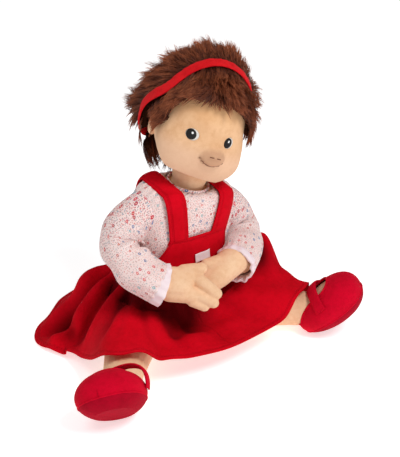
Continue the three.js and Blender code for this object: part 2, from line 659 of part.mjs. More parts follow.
// Arms: each runs from the armhole to a hand, and the right hand lies outside the left one
const palmEdge = vec(0, 0.62, -0.78);
const ARM_ROUTES = {
  right: [
    [-97, -3, 207], [-113, -17, 183], [-106, -50, 164], [-77, -81, 149], [-43, -99, 143], [-5, -120, 129],
  ],
  left: [
    [96, -3, 208], [109, -18, 187], [97, -52, 172], [68, -78, 164], [40, -94, 155], [10, -105, 139],
  ],
};
const WRIST_PLACE = 0.72;
const SLEEVE_SHORT = { right: 0.04, left: 0 };
const shoulderDrum = drum(-ARMHOLE - GAP, ARMHOLE + GAP, SHOULDER_DRUM_RADIUS);

function armGirth(t, wrist, margin) {
  const upper = lerp(ARM_TOP_RADIUS, ELBOW_RADIUS, clamp(t / 0.45, 0, 1));
  const radius = lerp(upper, WRIST_RADIUS, smoothstep(t, 0.4, wrist));
  const hand = smoothstep(t, wrist, wrist + 0.12);
  const tip = t < 0.9 ? 1 : Math.sqrt(Math.max(1 - ((t - 0.9) / 0.1) ** 2, 0.02));
  const thick = lerp(radius, PALM_HALF_THICKNESS, hand) * tip + margin;
  const wide = lerp(radius, PALM_HALF_WIDTH, hand) * tip + margin;
  return [wide, thick];
}

for (const [name, side] of SIDES) {
  const root = vec(side * ARMHOLE / 2, 0, SHOULDER_HEIGHT + ARM_ROOT_RISE);
  const armhole = vec(side * (ARMHOLE - 4), 0, SHOULDER_HEIGHT + ARMHOLE_RISE);
  const bends = ARM_ROUTES[name].map((spot) => vec(...spot));
  const route = new THREE.CatmullRomCurve3([root, armhole, ...bends]);
  const rings = 17;
  let arm = solid(limb(route, (t) => armGirth(t, WRIST_PLACE, 0), palmEdge, rings, 13));

  // A thumb on the upper edge of the palm, and four fingers that curl from its end
  const along = route.getTangentAt(1);
  const thumbRoot = route.getPointAt(0.79).addScaledVector(palmEdge, -PALM_HALF_WIDTH * 0.6);
  const thumbTip = route.getPointAt(0.97).addScaledVector(palmEdge, -PALM_HALF_WIDTH);
  const bones = [[thumbRoot, thumbTip]];
  for (let finger = 0; finger < 4; finger++) {
    const offset = (finger - 1.8) * FINGER_RADIUS * 1.75;
    const knuckle = route.getPointAt(0.92).addScaledVector(palmEdge, offset);
    const length = FINGER_LENGTH - finger * 4;
    const tip = knuckle.clone().addScaledVector(along, length);
    bones.push([knuckle, tip.addScaledVector(palmEdge, length * FINGER_CURL)]);
  }
  for (const [knuckle, tip] of bones) {
    const bone = new THREE.CatmullRomCurve3([knuckle, knuckle.clone().lerp(tip, 0.5), tip]);
    const round = (t) => FINGER_RADIUS * Math.sqrt(Math.max(1 - Math.max((t - 0.7) / 0.3, 0) ** 2, 0.02));
    arm = arm.add(solid(limb(bone, (t) => [round(t), round(t)], palmEdge, 7, 8)));
  }
  const innerHand = drum(CLASP_EDGE + CLASP_GAP, REACH, CLASP_RADIUS - CLASP_GAP / 2);
  const outerHand = drum(CLASP_EDGE, REACH, CLASP_RADIUS + CLASP_GAP / 2);
  arm = name === 'left' ? arm.intersect(innerHand) : arm.subtract(outerHand);
  arm = arm.subtract(shoulderDrum);
  addMesh(upperBody, `${name}_arm`, arm, SKIN);

  // Sleeve from the armhole to the wrist, and a turned hem as the cuff
  const sleeveEnd = WRIST_PLACE - SLEEVE_SHORT[name];
  const cuffEnd = sleeveEnd + CUFF_WIDTH / route.getLength();
  const loose = (t) => armGirth(t, 1, SLEEVE_EASE);
  const sleeve = clothTube(route, loose, CLOTH, palmEdge, 12, 14, 0.02, sleeveEnd);
  addMesh(upperBody, `${name}_sleeve`, solid(sleeve).subtract(shoulderDrum), PRINT);
  const cuffStart = sleeveEnd + GAP / route.getLength();
  const cuff = clothTube(route, loose, CLOTH + 1, palmEdge, 3, 14, cuffStart, cuffEnd);
  addMesh(upperBody, `${name}_cuff`, solid(cuff), HEM);
}

// Skirt: gathered at the waist, draped over the legs and spread on the floor
const waistTurn = girthAt(BODICE_FOOT - GAP);
const waistCentre = vec(0, 0, BODICE_FOOT).applyMatrix4(torsoToFloor);

// Height of the cloth where a leg lies beneath it
function legCover(x, y) {
  let cover = 0;
  for (const [, side] of SIDES) {
    const local = vec(x, y, 0).applyMatrix4(hipPlace(side).invert());
    const along = clamp(-local.y / LEG_LENGTH, 0, 1);
    const radius = legGirths.getPoint(along).x;
    const top = lerp(THIGH_RADIUS, ANKLE_HEIGHT, along) + radius + CLOTH + 3;
    const across = Math.exp(-((local.x / (radius * 1.75)) ** 4));
    cover = Math.max(cover, top * across * smoothstep(-local.y, -THIGH_RADIUS, 0));
  }
  return cover;
}

// Rise of the folds above the plain cloth, round the waist
function foldRise(degrees) {
  let rise = 0;
  for (const [heading, height] of SKIRT_FOLDS) {
    const apart = ((degrees - heading + 540) % 360) - 180;
    rise += height * (Math.exp(-((apart / FOLD_WIDTH) ** 2)) - (FOLD_WIDTH * 3.5) / 360);
  }
  return rise;
}

function skirtPoint(s, angle) {
  const waist = torsoPoint(waistTurn, angle, dressMargin + CLOTH).applyMatrix4(torsoToFloor);
  const front = Math.max(Math.cos(angle), 0) ** 2;
  const back = Math.max(-Math.cos(angle), 0) ** 2;
  const signed = angle > Math.PI ? angle - 2 * Math.PI : angle;
  const near = (heading, width) => Math.exp(-(((signed - degToRad(heading)) / width) ** 2));
  const overLegs = near(-HEM_LEG_HEADING, 0.4) + near(HEM_LEG_HEADING, 0.4);
  const hemSide = signed < 0 ? HEM_RIGHT : HEM_LEFT;
  let reach = HEM_FRONT * front + HEM_BACK * back + hemSide * Math.sin(angle) ** 2;
  reach += HEM_OVER_LEGS * overLegs + HEM_CORNER * near(HEM_CORNER_HEADING, 0.3);
  const hem = vec(Math.sin(angle), -Math.cos(angle), 0).multiplyScalar(reach).add(waistCentre);
  hem.z = CLOTH + GAP;
  const lap = smoothstep(Math.cos(angle), 0.25, 0.8);
  hem.z += HEM_BETWEEN_LEGS * lap;
  const spot = waist.clone().lerp(hem, s);
  spot.z = lerp(waist.z, hem.z, 1 - (1 - s) ** lerp(1.3, 1.2, lap));
  spot.z += LEFT_PUFF * near(PUFF_HEADING, 0.5) * Math.sin(Math.PI * s ** 1.3);
  spot.z -= LAP_HOLLOW * lap * Math.exp(-(((s - 0.35) / 0.2) ** 2));
  const fold = foldRise(radToDeg(signed)) * smoothstep(s, 0.04, 0.35) * (1 - 0.45 * smoothstep(s, 0.75, 1));
  spot.add(vec(Math.sin(angle) * 0.6, -Math.cos(angle) * 0.6, 0.8).multiplyScalar(fold));
  spot.z = Math.max(spot.z, CLOTH + GAP);
  const cover = legCover(spot.x, spot.y) * smoothstep(s, 0.02, 0.25);
  const soft = 8;
  spot.z = soft * Math.log(Math.exp(spot.z / soft) + Math.exp(cover / soft) * (cover > 1 ? 1 : 0));
  return spot;
}

function skirtForm() {
  const steps = 8;
  const rings = 2 * (steps + 1);
  return loft(rings, 72, (ring, angle) => {
    const outer = ring <= steps;
    const s = (outer ? ring : rings - 1 - ring) / steps;
    const spot = skirtPoint(s, angle);
    if (outer) return spot;
    const down = skirtPoint(Math.min(s + 0.02, 1), angle).sub(skirtPoint(Math.max(s - 0.02, 0), angle));
    const round = skirtPoint(s, angle + 0.05).sub(skirtPoint(s, angle - 0.05));
    const inward = vec(0, 0, 0).crossVectors(round, down).normalize();
    if (inward.z > 0) inward.negate();
    return spot.addScaledVector(inward, CLOTH);
  }, true);
}

const aboveWaist = box(-REACH, REACH, -REACH, REACH, BODICE_FOOT - GAP, REACH, torsoToFloor);
const bodiceRoom = solid(torsoSkin(dressMargin + CLOTH + GAP), torsoToFloor).intersect(aboveWaist);
const skirt = solid(skirtForm()).subtract(bodiceRoom);
for (const [name, side] of SIDES) {
  const seam = waistCentre.x + side * GAP / 2;
  const ends = side < 0 ? [-REACH, seam] : [seam, REACH];
  const half = box(...ends, -REACH, REACH, 0, REACH);
  let panel = skirt.intersect(half).subtract(solid(torsoSkin(dressMargin), torsoToFloor));
  panel = panel.subtract(solid(legForm(GAP), hipPlace(side)));
  addMesh(doll, `skirt_${name}`, panel, RED_VELOUR);
}

// The origin lies under the middle of the doll, on the floor
const extent = new THREE.Box3().setFromObject(doll, true);
const middle = extent.getCenter(vec(0, 0, 0));
doll.children.forEach((child) => child.position.sub(vec(middle.x, middle.y, extent.min.z)));

export default doll;
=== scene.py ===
# %% [markdown]
# # A soft doll that sits with clasped hands
# The frame holds every piece of the doll as a plain solid, in metres, with its joints. This lesson
# dresses that frame: each solid is hidden, and a finer soft piece that follows the same sizes takes
# its place. Sizes below are in millimetres, in the doll's own frame, whose origin lies on the floor
# under the pelvis: -Y is the way it faces and +X is its own left side.

# %% Load the frame
import json
import math

import bmesh
import bpy
import numpy as np
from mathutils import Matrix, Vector
from mathutils.bvhtree import BVHTree


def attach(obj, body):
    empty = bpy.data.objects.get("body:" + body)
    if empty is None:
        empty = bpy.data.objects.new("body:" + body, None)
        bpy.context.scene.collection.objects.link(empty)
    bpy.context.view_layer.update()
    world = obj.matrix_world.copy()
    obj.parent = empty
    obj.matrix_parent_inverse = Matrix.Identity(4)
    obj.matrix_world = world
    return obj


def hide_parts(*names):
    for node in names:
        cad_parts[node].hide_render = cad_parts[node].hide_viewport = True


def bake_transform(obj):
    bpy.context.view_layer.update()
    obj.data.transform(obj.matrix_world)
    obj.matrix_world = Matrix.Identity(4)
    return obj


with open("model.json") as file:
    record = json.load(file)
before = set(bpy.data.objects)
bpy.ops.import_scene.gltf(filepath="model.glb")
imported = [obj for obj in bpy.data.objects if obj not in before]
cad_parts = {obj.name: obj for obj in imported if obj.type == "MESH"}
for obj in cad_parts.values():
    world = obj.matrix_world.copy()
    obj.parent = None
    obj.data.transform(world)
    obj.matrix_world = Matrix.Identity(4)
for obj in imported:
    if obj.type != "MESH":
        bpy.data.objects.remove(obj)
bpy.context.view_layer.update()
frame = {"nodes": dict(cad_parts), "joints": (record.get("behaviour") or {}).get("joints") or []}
scene = bpy.context.scene
scene.view_settings.view_transform = "Standard"

# %% [markdown]
# The sizes repeat the part's own named sizes, so that a cloth lies where its solid lies. The frame
# itself tells where the pelvis went: it lies midway between the two hip joints.

# %% Sizes of the doll
GAP, CLOTH, SHOE_CLOTH = 0.4, 2.6, 3.4
LEAN_FORWARD, LEAN_LEFT, TURN_RIGHT, LEAN_PIVOT = 10, 9, 5, 30
# Half width, half depth and height of the torso, from the seat up
TORSO_GIRTHS = [(64, 52.8, -42), (80, 66, 42), (72, 56, 128), (84, 50, 212), (75, 41, 258),
                (33, 33, 265)]
TORSO_HEIGHT, NECK_LENGTH, NECK_HOLE = 265, 19, 28.4
HEAD_HALF = np.array([66.0, 72.0, 88.0])
CHEEK, JAW_DROP = 21, 24
HEAD_TURN_RIGHT, HEAD_NOD, HEAD_TILT_LEFT = 24, 0, 20
HEAD_SEAT = np.array([11.0, -12.0, -85.0])
MUZZLE_HALF_WIDTH, MUZZLE_DEPTH = 19, 9
EYE_SPACING, EYE_RADIUS, EYE_DROP = 58, 7.5, 10
HAIR_THICKNESS, HAIR_BACK_FULLNESS = 16, 38
FRINGE_HEIGHT, FRINGE_HALF_WIDTH = 46, 60
BAND_WIDTH, BAND_FORWARD = 15, 0.3
ARMHOLE = 72
ARM_TOP, ELBOW, WRIST = 34, 25, 23
SLEEVE_EASE, CUFF_WIDTH = 3, 10
BODICE_FOOT, BODICE_SIDE_TOP, BIB_TOP, BIB_HALF = 118, 146, 198, 51
STRAP_WIDTH, NECKBAND = 25, 7
HEM_FRONT, HEM_RIGHT, HEM_LEFT, HEM_BACK = 162, 168, 205, 212
HEM_OVER_LEGS, HEM_LEG_HEADING, HEM_CORNER, HEM_CORNER_HEADING = 38, 61, 32, -120
HEM_BETWEEN_LEGS, LAP_HOLLOW, LEFT_PUFF, PUFF_HEADING, FOLD_WIDTH = 42, 18, 82, 83, 8
HIP_HALF, HIP_FORWARD, LEG_SPREAD, LEG_LENGTH = 50, 18, 45, 205
THIGH, KNEE, ANKLE = 41, 33, 26
FOOT_LENGTH, FOOT_WIDTH, FOOT_HEIGHT, FOOT_PITCH = 110, 92, 60, 42
FOOT_ROLL = {"right": -22, "left": 2}
SOLE, OPENING_HALF, OPENING_FRONT, STRAP_FRONT, SHOE_STRAP = 3, 26, 48, 29, 19
SIDES = {"right": -1, "left": 1}
hips = [np.array(j["pos_m"]) for j in frame["joints"] if j["name"].endswith("hip_swing")]
SHIFT = np.mean(hips, axis=0) * 1000 + np.array([0, HIP_FORWARD, 0])
print("pelvis at", SHIFT.round(2))

# %% [markdown]
# Small tools: a curve through points, turning matrices and smooth steps. The curve is the same
# centripetal spline that shaped the solids. A curve object could hold it too, but a formula gives any
# number of places at once.

# %% Curves and turns
def smoothstep(x, low, high):
    x = np.clip((np.asarray(x, float) - low) / (high - low), 0, 1)
    return x * x * (3 - 2 * x)


def hump(x, centre, width):
    return np.exp(-(((np.asarray(x, float) - centre) / width) ** 2))


def turn(axis, degrees):
    c, s = math.cos(math.radians(degrees)), math.sin(math.radians(degrees))
    rows = {"x": [[1, 0, 0], [0, c, -s], [0, s, c]], "y": [[c, 0, s], [0, 1, 0], [-s, 0, c]],
            "z": [[c, -s, 0], [s, c, 0], [0, 0, 1]]}
    return np.array(rows[axis])


def spline(points, t):
    points = np.array(points, float)
    padded = np.vstack([2 * points[0] - points[1], points, 2 * points[-1] - points[-2]])
    place = np.clip(np.asarray(t, float), 0, 1) * (len(points) - 1)
    i = np.minimum(place.astype(int), len(points) - 2)
    w = (place - i)[..., None]
    p0, p1, p2, p3 = (padded[i + k] for k in range(4))
    spans = (p0, p1), (p1, p2), (p2, p3)
    d0, d1, d2 = (np.sqrt(np.linalg.norm(b - a, axis=-1, keepdims=True)) for a, b in spans)
    m1 = ((p1 - p0) / d0 - (p2 - p0) / (d0 + d1) + (p2 - p1) / d1) * d1
    m2 = ((p2 - p1) / d1 - (p3 - p1) / (d1 + d2) + (p3 - p2) / d2) * d1
    return p1 + m1 * w + (-3 * p1 + 3 * p2 - 2 * m1 - m2) * w**2 + (2 * p1 - 2 * p2 + m1 + m2) * w**3


def unit(v):
    return v / np.maximum(np.linalg.norm(v, axis=-1, keepdims=True), 1e-9)


BODY_TURN = turn("z", -TURN_RIGHT) @ turn("x", LEAN_FORWARD) @ turn("y", LEAN_LEFT)
HEAD_TURN = turn("z", -HEAD_TURN_RIGHT) @ turn("x", HEAD_NOD) @ turn("y", HEAD_TILT_LEFT)


def on_body(p):
    pivot = np.array([0, 0, LEAN_PIVOT])
    return (p - pivot) @ BODY_TURN.T + pivot


def on_head(p):
    return (p - HEAD_SEAT) @ HEAD_TURN.T + on_body(np.array([0, 0, TORSO_HEIGHT + NECK_LENGTH]))


def on_leg(p, side):
    return p @ turn("z", side * LEG_SPREAD).T + np.array([side * HIP_HALF, -HIP_FORWARD, 0])


print("the neck's top is at", on_body(np.array([0, 0, TORSO_HEIGHT + NECK_LENGTH])).round(1))

# %% [markdown]
# Meshes are made from grids of points. A grid is a list of rows; each row may close on itself. Cloth
# gets flat coordinates in metres, so that a print or a stitch keeps its real size on every piece. Soft
# forms could also be sculpted by hand; a grid from a formula stays even, and one number changes it.

# %% Mesh makers
def mesh_object(name, points, faces, uv=None):
    mesh = bpy.data.meshes.new(name)
    mesh.from_pydata(((np.asarray(points) + SHIFT) / 1000).tolist(), [], [tuple(f) for f in faces])
    if uv is not None:
        layer = mesh.uv_layers.new(name="cloth")
        corner = np.zeros(len(mesh.loops), np.int32)
        mesh.loops.foreach_get("vertex_index", corner)
        layer.data.foreach_set("uv", np.asarray(uv, np.float32)[corner].ravel())
    mesh.shade_smooth()
    piece = bpy.data.objects.new(name, mesh)
    scene.collection.objects.link(piece)
    return piece


def grid_faces(rows, columns, closed=True, first=0):
    faces = []
    for r in range(rows - 1):
        for c in range(columns if closed else columns - 1):
            d = (c + 1) % columns
            faces.append((first + r * columns + c, first + r * columns + d,
                          first + (r + 1) * columns + d, first + (r + 1) * columns + c))
    return faces


def flat_lengths(grid):
    """Flat coordinates of a grid in metres: round each row and down the columns."""
    down = np.linalg.norm(np.diff(grid, axis=0), axis=2).mean(axis=1)
    v = np.concatenate([[0], np.cumsum(down)]) / 1000
    steps = np.linalg.norm(np.roll(grid, -1, axis=1) - grid, axis=2).mean(axis=0)
    u = np.concatenate([[0], np.cumsum(steps[:-1])]) / 1000
    return np.stack(np.broadcast_arrays(u[None, :], v[:, None]), axis=2)


def grid_object(name, grid, closed=True, caps=False, uv=None):
    rows, columns = grid.shape[:2]
    points = grid.reshape(-1, 3)
    faces = grid_faces(rows, columns, closed)
    flat = (flat_lengths(grid) if uv is None else uv).reshape(-1, 2)
    if caps:
        points = np.vstack([points, grid[0].mean(axis=0), grid[-1].mean(axis=0)])
        flat = np.vstack([flat, flat[0], flat[-1]])
        start, end = rows * columns, rows * columns + 1
        for c in range(columns):
            d = (c + 1) % columns
            faces.append((start, d, c))
            faces.append((end, (rows - 1) * columns + c, (rows - 1) * columns + d))
    return mesh_object(name, points, faces, flat)


def face_outward(piece):
    form = bmesh.new()
    form.from_mesh(piece.data)
    bmesh.ops.recalc_face_normals(form, faces=form.faces)
    form.to_mesh(piece.data)
    form.free()
    return piece


def tube_grid(path, radius, sides=8, closed=False):
    """Rings round a path of points; radius may be one number or one per point."""
    path = np.asarray(path, float)
    ahead = np.roll(path, -1, 0) - np.roll(path, 1, 0) if closed else np.gradient(path, axis=0)
    along = unit(ahead)
    lean = np.where(np.abs(along[:, 2:3]) > 0.9, np.array([[1.0, 0, 0]]), np.array([[0, 0, 1.0]]))
    first = unit(lean - along * (lean * along).sum(1, keepdims=True))
    second = np.cross(along, first)
    angle = np.arange(sides) * 2 * math.pi / sides
    radius = np.broadcast_to(np.asarray(radius, float), (len(path),))[:, None, None]
    ring = first[:, None] * np.cos(angle)[None, :, None] + second[:, None] * np.sin(angle)[None, :, None]
    return path[:, None] + ring * radius


def tube_object(name, path, radius, sides=8, closed=False):
    grid = tube_grid(path, radius, sides, closed)
    if closed:
        grid = np.concatenate([grid, grid[:1]])
        return face_outward(grid_object(name, grid))
    return face_outward(grid_object(name, grid, caps=True))


def thicken(piece, mm):
    """Gives a sheet its thickness, inwards from its outer face."""
    modifier = piece.modifiers.new("thickness", "SOLIDIFY")
    modifier.thickness = mm / 1000
    modifier.offset = -1.0
    return piece


def surface_area(piece):
    areas = np.zeros(len(piece.data.polygons), np.float32)
    piece.data.polygons.foreach_get("area", areas)
    return float(areas.sum())


print("mesh makers ready")

# %% [markdown]
# ## The camera
# The photograph looks down at the doll from its right front with a long lens. The pelvis shows at
# one place of the picture, so the camera slides sideways in its own plane until it shows there.

# %% Camera
PICTURE = (400, 457)
VIEW_AZIMUTH, VIEW_HEIGHT, VIEW_DISTANCE, FOCAL_PIXELS = -40, 25.5, 2.2, 1375
PELVIS_PIXEL, SENSOR_WIDTH = (155, 329), 36
azimuth, height = math.radians(VIEW_AZIMUTH), math.radians(VIEW_HEIGHT)
level = math.cos(height)
back = np.array([math.sin(azimuth) * level, -math.cos(azimuth) * level, math.sin(height)])
right = np.array([math.cos(azimuth), math.sin(azimuth), 0])
up = np.cross(back, right)
slide_x = (PELVIS_PIXEL[0] - PICTURE[0] / 2) / FOCAL_PIXELS * VIEW_DISTANCE
slide_y = (PELVIS_PIXEL[1] - PICTURE[1] / 2) / FOCAL_PIXELS * VIEW_DISTANCE
camera = bpy.data.objects.new("camera", bpy.data.cameras.new("camera"))
camera.data.sensor_width = SENSOR_WIDTH
camera.data.lens = SENSOR_WIDTH * FOCAL_PIXELS / PICTURE[1]
camera.data.clip_end = 20
camera.location = SHIFT / 1000 - right * slide_x + up * slide_y + back * VIEW_DISTANCE
camera.rotation_mode = "QUATERNION"
camera.rotation_quaternion = Vector(-back).to_track_quat("-Z", "Y")
scene.collection.objects.link(camera)
scene.camera = camera
print("lens", round(camera.data.lens, 1), "mm")

# %% [markdown]
# ## Finishes
# A material is a small sum of nodes. The class below wraps a socket, so that the sums read as plain
# arithmetic; one method makes any other node. What changes over a surface feeds colour, roughness
# and bump only, and what is the same all over is set on the shader.

# %% Shader arithmetic
class Wire:
    """One output of a node; arithmetic on it adds Math nodes."""

    def __init__(self, finish, socket):
        self.finish, self.socket = finish, socket

    def math(self, operation, first, second=0.0):
        return self.finish.node("ShaderNodeMath", {"operation": operation}, {0: first, 1: second})

    def __add__(self, other):
        return self.math("ADD", self, other)

    __radd__ = __add__

    def __sub__(self, other):
        return self.math("SUBTRACT", self, other)

    def __rsub__(self, other):
        return self.math("SUBTRACT", other, self)

    def __mul__(self, other):
        return self.math("MULTIPLY", self, other)

    __rmul__ = __mul__

    def __truediv__(self, other):
        return self.math("DIVIDE", self, other)

    def __gt__(self, other):
        return self.math("GREATER_THAN", self, other)

    def __lt__(self, other):
        return self.math("LESS_THAN", self, other)

    def step(self, low, high):
        values = {"Value": self, "From Min": low, "From Max": high}
        return self.finish.node("ShaderNodeMapRange", {"interpolation_type": "SMOOTHSTEP"}, values)


class Finish:
    """A material with one principled shader, and the methods that feed it."""

    def __init__(self, name, roughness=0.9, sheen=0.0, sheen_tint=(1, 1, 1), specular=0.3):
        self.material = bpy.data.materials.new(name)
        self.material.use_nodes = True
        self.nodes, self.links = self.material.node_tree.nodes, self.material.node_tree.links
        self.shader = self.nodes["Principled BSDF"]
        self.shader.inputs["Roughness"].default_value = roughness
        self.shader.inputs["Sheen Weight"].default_value = sheen
        self.shader.inputs["Sheen Roughness"].default_value = 0.45
        self.shader.inputs["Sheen Tint"].default_value = (*sheen_tint, 1)
        self.shader.inputs["Specular IOR Level"].default_value = specular

    def put(self, socket, value):
        if isinstance(value, Wire):
            self.links.new(value.socket, socket)
        elif isinstance(value, (tuple, list)) and socket.type == "RGBA":
            socket.default_value = (*value[:3], 1)
        else:
            socket.default_value = value

    def node(self, kind, settings=None, values=None, output=0):
        """Any node; several output names give a list of wires."""
        made = self.nodes.new(kind)
        for key, value in (settings or {}).items():
            setattr(made, key, value)
        for key, value in (values or {}).items():
            self.put(made.inputs[key], value)
        if isinstance(output, tuple):
            return [Wire(self, made.outputs[one]) for one in output]
        return Wire(self, made.outputs[output])

    def mix(self, factor, first, second):
        return self.node("ShaderNodeMix", {"data_type": "RGBA"}, {0: factor, 6: first, 7: second}, 2)

    def place(self):
        return self.node("ShaderNodeTexCoord", output="Object")

    def flat(self):
        return self.node("ShaderNodeUVMap", {"uv_map": "cloth"})

    def part(self, vector, axis):
        return self.node("ShaderNodeSeparateXYZ", values={0: vector}, output=axis)

    def noise(self, size_mm, detail=2.0, vector=None):
        values = {"Vector": vector or self.place(), "Scale": 1000 / size_mm, "Detail": detail}
        return self.node("ShaderNodeTexNoise", values=values)

    def colour(self, value):
        self.put(self.shader.inputs["Base Color"], value)
        return self

    def rough(self, value):
        self.put(self.shader.inputs["Roughness"], value)
        return self

    def bump(self, height, depth_mm):
        values = {"Height": height, "Distance": depth_mm / 1000, "Strength": 1.0}
        self.put(self.shader.inputs["Normal"], self.node("ShaderNodeBump", values=values))
        return self


def paint(red, green, blue):
    """A colour given as a screen shows it, 0 to 255, in the renderer's own scale."""
    channels = [c / 255 for c in (red, green, blue)]
    return tuple(c / 12.92 if c <= 0.04045 else ((c + 0.055) / 1.055) ** 2.4 for c in channels)


print("a mid grey is", [round(c, 3) for c in paint(128, 128, 128)])

# %% [markdown]
# The skin is cotton velour: a matt peach cloth with a very short nap. Close up the nap is a fine
# speckle; from a step away it shows as a soft bloom on the turned edges, which is what sheen gives.
# Real hairs could be grown for it, but none would show at this size, so noise stands for them.

# %% Skin and velour
def velour(name, base, shade, nap_mm=0.7, sheen=0.25, tint=(1, 1, 1), nap_depth=0.25, marks=()):
    """A napped cloth in two tones. Each mark names a painted attribute, its colour and its strength."""
    made = Finish(name, roughness=0.92, sheen=sheen, sheen_tint=tint, specular=0.08)
    cloud = made.noise(38, 3)
    nap = made.noise(nap_mm, 1)
    mottle = cloud.step(0.3, 0.75) * 0.5 + made.noise(7, 2).step(0.4, 0.7) * 0.25
    colour = made.mix(mottle + nap.step(0.35, 0.7) * 0.3, base, shade)
    for attribute, other, strength in marks:
        amount = made.node("ShaderNodeAttribute", {"attribute_name": attribute}, output="Fac")
        colour = made.mix(amount * strength, colour, other)
    made.ground = colour
    made.colour(colour)
    made.rough(0.85 + nap * 0.12)
    made.bump(nap + made.noise(2.6, 2) * 0.8, nap_depth)
    return made


RED, RED_SHADE, RED_BLOOM = paint(214, 2, 28), paint(184, 0, 16), paint(250, 36, 58)
skin = velour("skin_velour", paint(242, 204, 168), paint(226, 178, 138), sheen=0.1,
              tint=paint(255, 234, 210))
shoe_red = velour("shoe_velour", paint(216, 3, 42), paint(184, 2, 30), 0.8, 0.04, RED_BLOOM, 0.35)
# The sole is the shoe's own velour painted darker, as painted shade on the shoe's underside
shaded_sole_red = velour("sole_velour", paint(178, 3, 36), paint(148, 2, 26), 0.8, 0.03, RED_BLOOM, 0.35)
band_red = velour("band_jersey", paint(222, 28, 34), paint(190, 14, 22), 1.1, 0.1,
                  paint(255, 150, 150), 0.4)
lining = velour("plain_lining", paint(232, 222, 205), paint(220, 208, 190), 0.9, 0.05)
print("velours", [f.material.name for f in (skin, shoe_red, shaded_sole_red, band_red, lining)])

# %% [markdown]
# The blouse is thin cotton with a ditsy print: small blossoms scattered on a pale ground. Each cell
# of a Voronoi pattern holds one blossom. The way from the cell's middle gives an angle, which turns
# a round spot into five petals; the cell's own random colour picks the blossom's paint. A printed
# picture could be wrapped round the cloth instead, but a pattern of nodes stays sharp close up.

# %% Printed cotton
def printed_cotton(name, ground, shade):
    made = Finish(name, roughness=0.88, sheen=0.08, specular=0.25)
    flat = made.flat()
    cloud = made.noise(30, 2)
    cotton = made.mix(cloud.step(0.35, 0.75) * 0.5, ground, shade)

    def blossoms(under, size_mm, radius, paints, bare, petals):
        """One layer of the print: a blossom in each cell, but for the bare share of them."""
        settings = {"voronoi_dimensions": "2D", "feature": "F1"}
        values = {"Vector": flat, "Scale": 1000 / size_mm, "Randomness": 0.75}
        outputs = ("Distance", "Color", "Position")
        distance, tone, middle = made.node("ShaderNodeTexVoronoi", settings, values, outputs)
        values = {0: flat, "Scale": 1000 / size_mm}
        scaled = made.node("ShaderNodeVectorMath", {"operation": "SCALE"}, values)
        offset = made.node("ShaderNodeVectorMath", {"operation": "SUBTRACT"}, {0: scaled, 1: middle})
        x, y = made.part(offset, 0), made.part(offset, 1)
        angle = x.math("ARCTAN2", y, x)
        edge = radius * (0.8 + 0.2 * x.math("COSINE", angle * petals))
        pick = made.part(tone, 0)
        spot = (edge - distance).step(-0.015, 0.02) * (made.part(tone, 1) > bare)
        colour = paints[0]
        for number, one in enumerate(paints[1:], 1):
            colour = made.mix(pick > number / len(paints), colour, one)
        dressed = made.mix(spot, under, colour)
        heart = (radius * 0.33 - distance).step(-0.01, 0.015) * (made.part(tone, 1) > bare)
        return made.mix(heart * 0.8, dressed, paint(250, 226, 190))

    specks = [paint(196, 118, 116), paint(160, 132, 146), paint(206, 104, 112), paint(150, 142, 150)]
    leaves = [paint(222, 96, 112), paint(140, 164, 190), paint(206, 84, 104), paint(196, 146, 160)]
    flowers = [paint(204, 40, 70), paint(222, 84, 108), paint(92, 124, 178), paint(116, 172, 190),
               paint(190, 52, 86)]
    dotted = blossoms(cotton, 2.8, 0.29, specks, 0.08, 3)
    small = blossoms(dotted, 5.2, 0.2, leaves, 0.3, 4)
    made.colour(blossoms(small, 12.5, 0.23, flowers, 0.25, 5))
    u, v = made.part(flat, 0), made.part(flat, 1)
    weave = u.math("SINE", u * 6000) * u.math("SINE", v * 6000)
    made.bump(weave * 0.3 + made.noise(9, 2), 0.35)
    return made


cotton = printed_cotton("printed_cotton", paint(248, 226, 222), paint(238, 206, 200))
hem_cotton = velour("hem_cotton", paint(247, 232, 234), paint(236, 214, 220), 0.9, 0.05)
print("cottons", cotton.material.name, hem_cotton.material.name)

# %% [markdown]
# ## The torso and what it hides
# The torso, neck, seat panel and the pellet bag hardly show, but they are real pieces. A copy of
# each solid is remeshed into an even skin and smoothed, which rounds its corners as stuffing does.
# They could be drawn anew, yet the copy is enough where cloth covers them.

# %% Stuffed copies of solids
def soften(piece, voxel_mm, rounds):
    """Remeshes a piece into one even skin and rounds its corners, as stuffing does."""
    remesh = piece.modifiers.new("even", "REMESH")
    remesh.mode = "VOXEL"
    remesh.voxel_size = voxel_mm / 1000
    smooth = piece.modifiers.new("soft", "SMOOTH")
    smooth.factor, smooth.iterations = 0.5, rounds
    done = bpy.data.meshes.new_from_object(piece.evaluated_get(bpy.context.evaluated_depsgraph_get()))
    piece.modifiers.clear()
    piece.data = done
    done.shade_smooth()
    return piece


def stuffed_copy(node, voxel_mm, rounds):
    piece = bpy.data.objects.new(node + "_soft", frame["nodes"][node].data.copy())
    piece.data.materials.clear()
    scene.collection.objects.link(piece)
    return soften(piece, voxel_mm, rounds)


def dress(piece, finish, body, slot, *nodes):
    """Gives a piece its finish, its body and the solids it stands for; the slot is not used."""
    piece.data.materials.clear()
    piece.data.materials.append(finish.material)
    if body:
        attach(piece, body)
    if nodes:
        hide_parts(*nodes)
    return piece


for node, voxel, rounds, body, finish, slot in (
        ("torso", 4, 12, "torso", skin, "skin"), ("neck", 2.5, 6, "neck", skin, "skin"),
        ("seat_gusset", 2, 2, "torso", skin, "skin"), ("pellet_bag", 3, 6, "torso", lining, "lining")):
    stuffed = dress(stuffed_copy(node, voxel, rounds), finish, body, slot, node)
    print(stuffed.name, len(stuffed.data.polygons), "faces")
